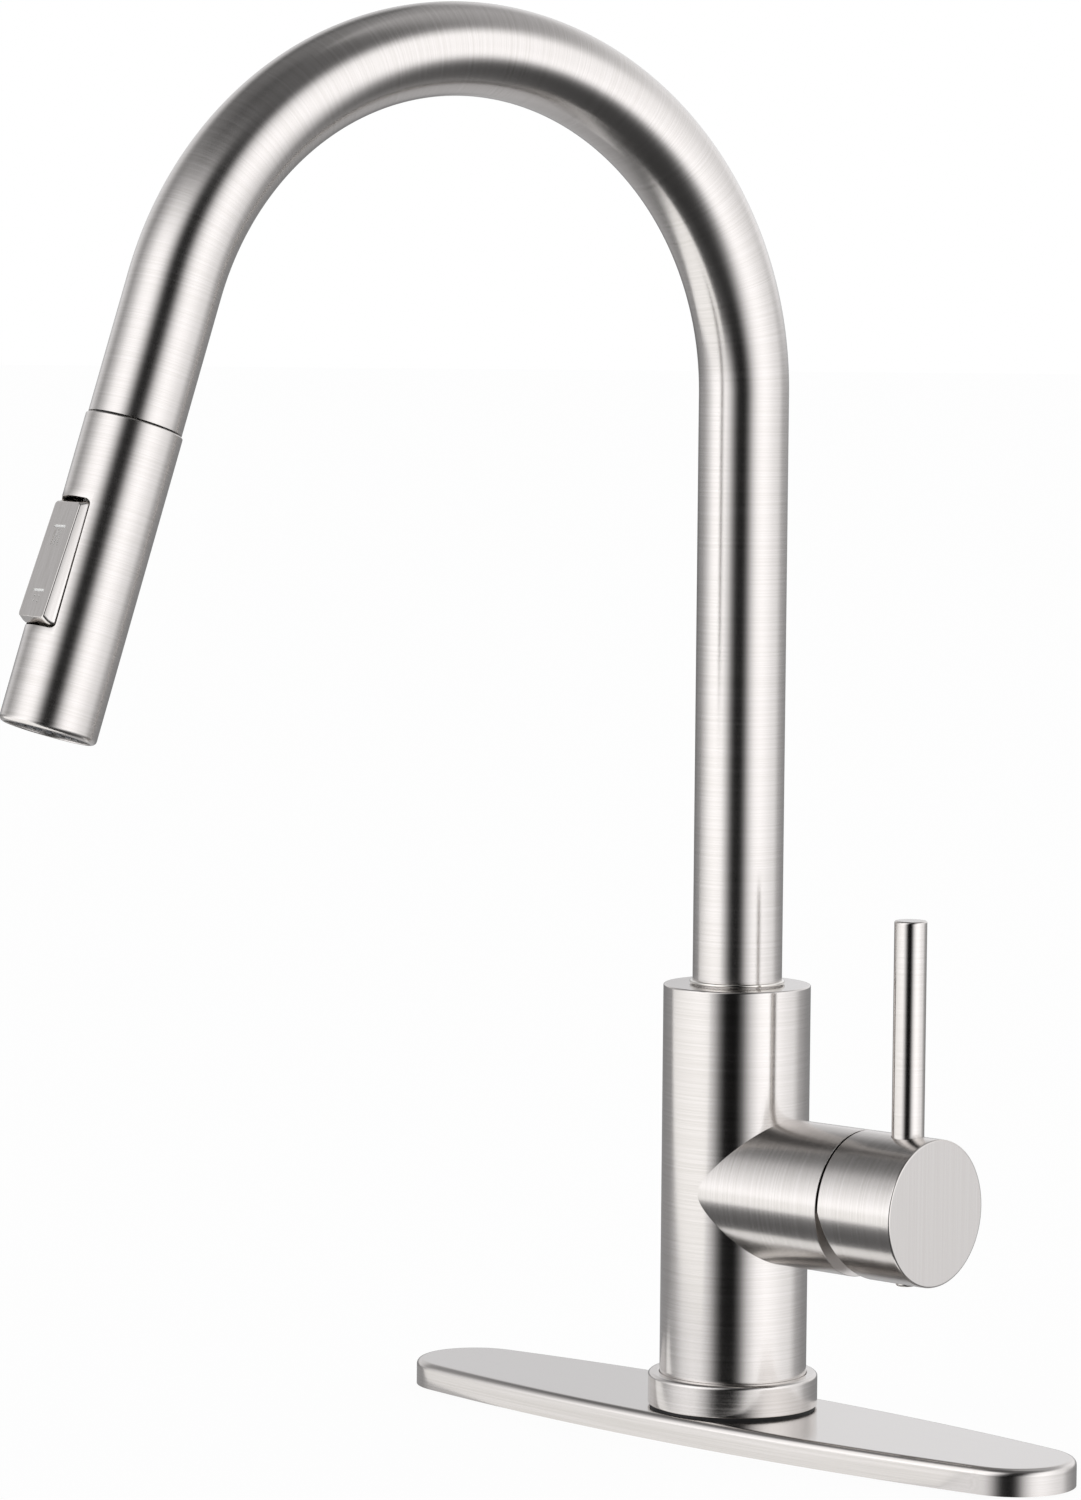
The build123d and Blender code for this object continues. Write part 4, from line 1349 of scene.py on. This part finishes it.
@dataclass(frozen=True)
class LightTent:
    """Soft studio light all round the faucet, given by bearing from the camera's side and by height.

    Each table holds (degrees, brightness). Bearings grow to the camera's right, and 0 is behind the camera.
    """

    walls: Stops = (
        (-180, 0.04), (-150, 0.08), (-120, 0.24), (-100, 0.5), (-82, 0.86), (-64, 0.98), (-48, 0.9),
        (-34, 0.5), (-23, 0.12), (-15, 0.0), (5, 0.0), (13, 0.1), (26, 0.56), (39, 0.86), (54, 0.94),
        (70, 0.84), (86, 0.7), (104, 0.6), (120, 0.3), (140, 0.19), (180, 0.12),
    )
    floor: Stops = (
        (-180, 0.3), (-140, 0.22), (-105, 0.08), (-60, 0.06), (-35, 0.04), (-12, 0.02), (60, 0.04),
        (105, 0.08), (135, 0.28), (180, 0.32),
    )
    ceiling: Stops = (
        (-180, 0.16), (-130, 0.1), (-60, 0.05), (60, 0.08), (95, 0.24), (145, 0.28), (180, 0.18),
    )
    band: Stops = (
        (-90, 0.0), (-38, 0.0), (-28, 0.04), (-20, 0.24), (-13, 0.74), (-6, 0.98), (0, 0.96),
        (10, 0.88), (33, 0.88), (41, 0.5), (49, 0.08), (58, 0.0), (90, 0.0),
    )
    rear: Stops = ((-180, 1.0), (-140, 1.0), (-112, 0.0), (112, 0.0), (140, 1.0), (180, 1.0))
    horizon: Stops = ((-90, 0.0), (-2, 0.0), (8, 0.4), (28, 0.34), (45, 0.0), (90, 0.0))
    lean: float = 0.45
    tilt: float = 0.05
    strength: float = 1.85
    tint: str = "#FDFDFF"

    @staticmethod
    def table(tree: NodeTree, degrees: NodeSocket, whole: float, stops: Stops) -> NodeSocket:
        """Look an angle up in a table of brightness.

        Args:
            tree: The world's node tree.
            degrees: The angle, in radians.
            whole: The table's whole span, in degrees, with 0 in its middle.
            stops: The table.

        Returns:
            The brightness.
        """
        share = add_node(tree, "ShaderNodeMapRange", {
            "Value": degrees, "From Min": -math.radians(whole / 2), "From Max": math.radians(whole / 2),
        })
        node = add_node(tree, "ShaderNodeValToRGB", {"Fac": share.outputs["Result"]})
        marks = node.color_ramp.elements
        for _ in range(len(stops) - 2):
            marks.new(0.5)
        for mark, (angle, level) in zip(list(marks), stops):
            mark.position = angle / whole + 0.5
            mark.color = (level, level, level, 1.0)
        return node.outputs["Color"]

    def build(self, tree: NodeTree, camera_azimuth: float) -> Node:
        """Add the tent to a world's node tree.

        Args:
            tree: The world's node tree.
            camera_azimuth: The camera's azimuth, in radians.

        Returns:
            The background node.
        """
        place = add_node(tree, "ShaderNodeTexCoord")
        turned = add_node(tree, "ShaderNodeVectorRotate", {
            "Vector": place.outputs["Generated"], "Angle": -camera_azimuth,
        }, rotation_type="Z_AXIS")
        parts = add_node(tree, "ShaderNodeSeparateXYZ", {"Vector": turned.outputs["Vector"]})
        height = add_node(tree, "ShaderNodeMath", {0: parts.outputs["Z"]}, operation="ARCSINE").outputs[0]
        bearing = add_node(tree, "ShaderNodeMath", {
            0: parts.outputs["Y"], 1: parts.outputs["X"],
        }, operation="ARCTAN2").outputs[0]
        leant = add_node(tree, "ShaderNodeMath", {
            0: height, 1: -self.lean, 2: bearing,
        }, operation="MULTIPLY_ADD")
        walls = self.table(tree, leant.outputs[0], 360, self.walls)
        over = add_node(tree, "ShaderNodeMath", {0: height, 1: 0.0}, operation="GREATER_THAN")
        rest = add_node(tree, "ShaderNodeMix", {
            "Factor": over.outputs[0], "A": self.table(tree, bearing, 360, self.floor),
            "B": self.table(tree, bearing, 360, self.ceiling),
        }, data_type="RGBA").outputs["Result"]
        tilted = add_node(tree, "ShaderNodeMath", {
            0: bearing, 1: self.tilt, 2: height,
        }, operation="MULTIPLY_ADD")
        band = self.table(tree, tilted.outputs[0], 180, self.band)
        tent = add_node(tree, "ShaderNodeMix", {"Factor": band, "A": rest, "B": walls}, data_type="RGBA")
        level = add_node(tree, "ShaderNodeMath", {
            0: self.table(tree, bearing, 360, self.rear), 1: self.table(tree, height, 180, self.horizon),
            2: tent.outputs["Result"],
        }, operation="MULTIPLY_ADD")
        scaled = add_node(tree, "ShaderNodeMath", {
            0: level.outputs[0], 1: self.strength,
        }, operation="MULTIPLY")
        return add_node(tree, "ShaderNodeBackground", {
            "Color": linear(self.tint), "Strength": scaled.outputs[0],
        })


@dataclass(frozen=True)
class Card:
    """Glowing card on the worktop: its edges in x and y, in metres, and its brightness."""

    left: float
    right: float
    front: float
    back: float
    light: float


@dataclass
class Studio:
    """White floor, light tent, glowing cards and the camera."""

    camera_place: tuple[float, float, float] = (1.0516, -1.2343, 0.3319)
    yaw: float = 42.55
    pitch: float = 4.41
    roll: float = 0.50
    lens: float = 129.64
    sensor_width: float = 36.0
    clip_end: float = 50.0
    floor_radius: float = 60.0
    floor_height: float = -0.0004
    floor_sides: int = 96
    cards: tuple[Card, ...] = (
        Card(-0.17, 0.095, -0.052, -0.024, 1.05), Card(-1.3, -0.03, -1.3, -0.21, 1.28),
    )
    tent: LightTent = LightTent()

    def build(self) -> None:
        """Make everything that isn't the object."""
        self.build_floor()
        for number, card in enumerate(self.cards):
            self.build_card(f"card_{number + 1}", card)
        self.build_world()
        self.build_camera()

    def build_camera(self) -> None:
        """Place the camera and make it the scene's."""
        yaw, pitch, roll = (math.radians(a) for a in (self.yaw, self.pitch, self.roll))
        ahead = Vector((-math.sin(yaw) * math.cos(pitch), math.cos(yaw) * math.cos(pitch), -math.sin(pitch)))
        right = Vector((math.cos(yaw), math.sin(yaw), 0))
        up = right.cross(ahead)
        tilted_right = right * math.cos(roll) + up * math.sin(roll)
        tilted_up = up * math.cos(roll) - right * math.sin(roll)
        data = bpy.data.cameras.new("camera")
        data.lens = self.lens
        data.sensor_width = self.sensor_width
        data.clip_end = self.clip_end
        camera = link_object("camera", data)
        turn = Matrix((tilted_right, tilted_up, -ahead)).transposed().to_4x4()
        camera.matrix_world = Matrix.Translation(Vector(self.camera_place)) @ turn
        bpy.context.scene.camera = camera

    def build_world(self) -> None:
        """The light tent, which the camera itself sees as a white ground."""
        world = bpy.data.worlds.new("studio")
        bpy.context.scene.world = world
        world.use_nodes = True
        tree = world.node_tree
        tree.nodes.clear()
        path = add_node(tree, "ShaderNodeLightPath")
        tent = self.tent.build(tree, math.atan2(self.camera_place[1], self.camera_place[0]))
        ground = add_node(tree, "ShaderNodeBackground", {"Color": linear(WHITE), "Strength": 1.0})
        mix = add_node(tree, "ShaderNodeMixShader", {
            "Fac": path.outputs["Is Camera Ray"], 1: tent.outputs[0], 2: ground.outputs[0],
        })
        add_node(tree, "ShaderNodeOutputWorld", {"Surface": mix.outputs[0]})

    @staticmethod
    def sheet(name: str, verts: Outline, faces: Outline, material: Material) -> Object:
        """Make a flat sheet that is stage and not object."""
        mesh = bpy.data.meshes.new(name)
        mesh.from_pydata(verts, [], faces)
        mesh.materials.append(material)
        sheet = link_object(name, mesh)
        return sheet

    def build_floor(self) -> None:
        """Lay a wide white floor that takes a faint contact shadow and isn't mirrored."""
        material, tree = blank_material("white card")
        shader = add_node(tree, "ShaderNodeBsdfPrincipled", {
            "Base Color": linear("#4C4C4C"), "Roughness": 0.9, "Specular IOR Level": 0.0,
            "Emission Color": linear(WHITE), "Emission Strength": 0.95,
        })
        add_node(tree, "ShaderNodeOutputMaterial", {"Surface": shader.outputs["BSDF"]})
        count, reach, height = self.floor_sides, self.floor_radius, self.floor_height
        turns = [2 * math.pi * k / count for k in range(count)]
        verts = [(0.0, 0.0, height)] + [(math.cos(t) * reach, math.sin(t) * reach, height) for t in turns]
        faces = [(0, 1 + k, 1 + (k + 1) % count) for k in range(count)]
        self.sheet("floor", verts, faces, material).visible_glossy = False

    def build_card(self, name: str, card: Card) -> None:
        """Lay a card on the worktop close to the plate, which only the metal sees."""
        material, tree = blank_material(name)
        glow = add_node(tree, "ShaderNodeEmission", {"Color": linear(WHITE), "Strength": card.light})
        add_node(tree, "ShaderNodeOutputMaterial", {"Surface": glow.outputs[0]})
        height = self.floor_height / 2
        corners = ((card.left, card.front), (card.right, card.front), (card.right, card.back),
                   (card.left, card.back))
        sheet = self.sheet(name, [(x, y, height) for x, y in corners], [(0, 1, 2, 3)], material)
        sheet.visible_camera = False
        sheet.visible_shadow = False
        sheet.visible_diffuse = False


def main() -> None:
    """Build the faucet and its studio, piece by piece."""
    logging.basicConfig(level=logging.INFO, format="%(message)s")
    Studio().build()
    finishes = FinishSet.build()
    CarriedNodes(finishes).dress()
    DeckPlate(finishes).build()
    Column(finishes).build()
    ValveHandle(finishes).build()
    spout = Spout(finishes)
    spout.build()
    SprayHead(finishes, spout).build()
    DeckClamp(finishes).build()
    bpy.context.scene.view_settings.view_transform = "Standard"


if __name__ == "__main__":
    main()
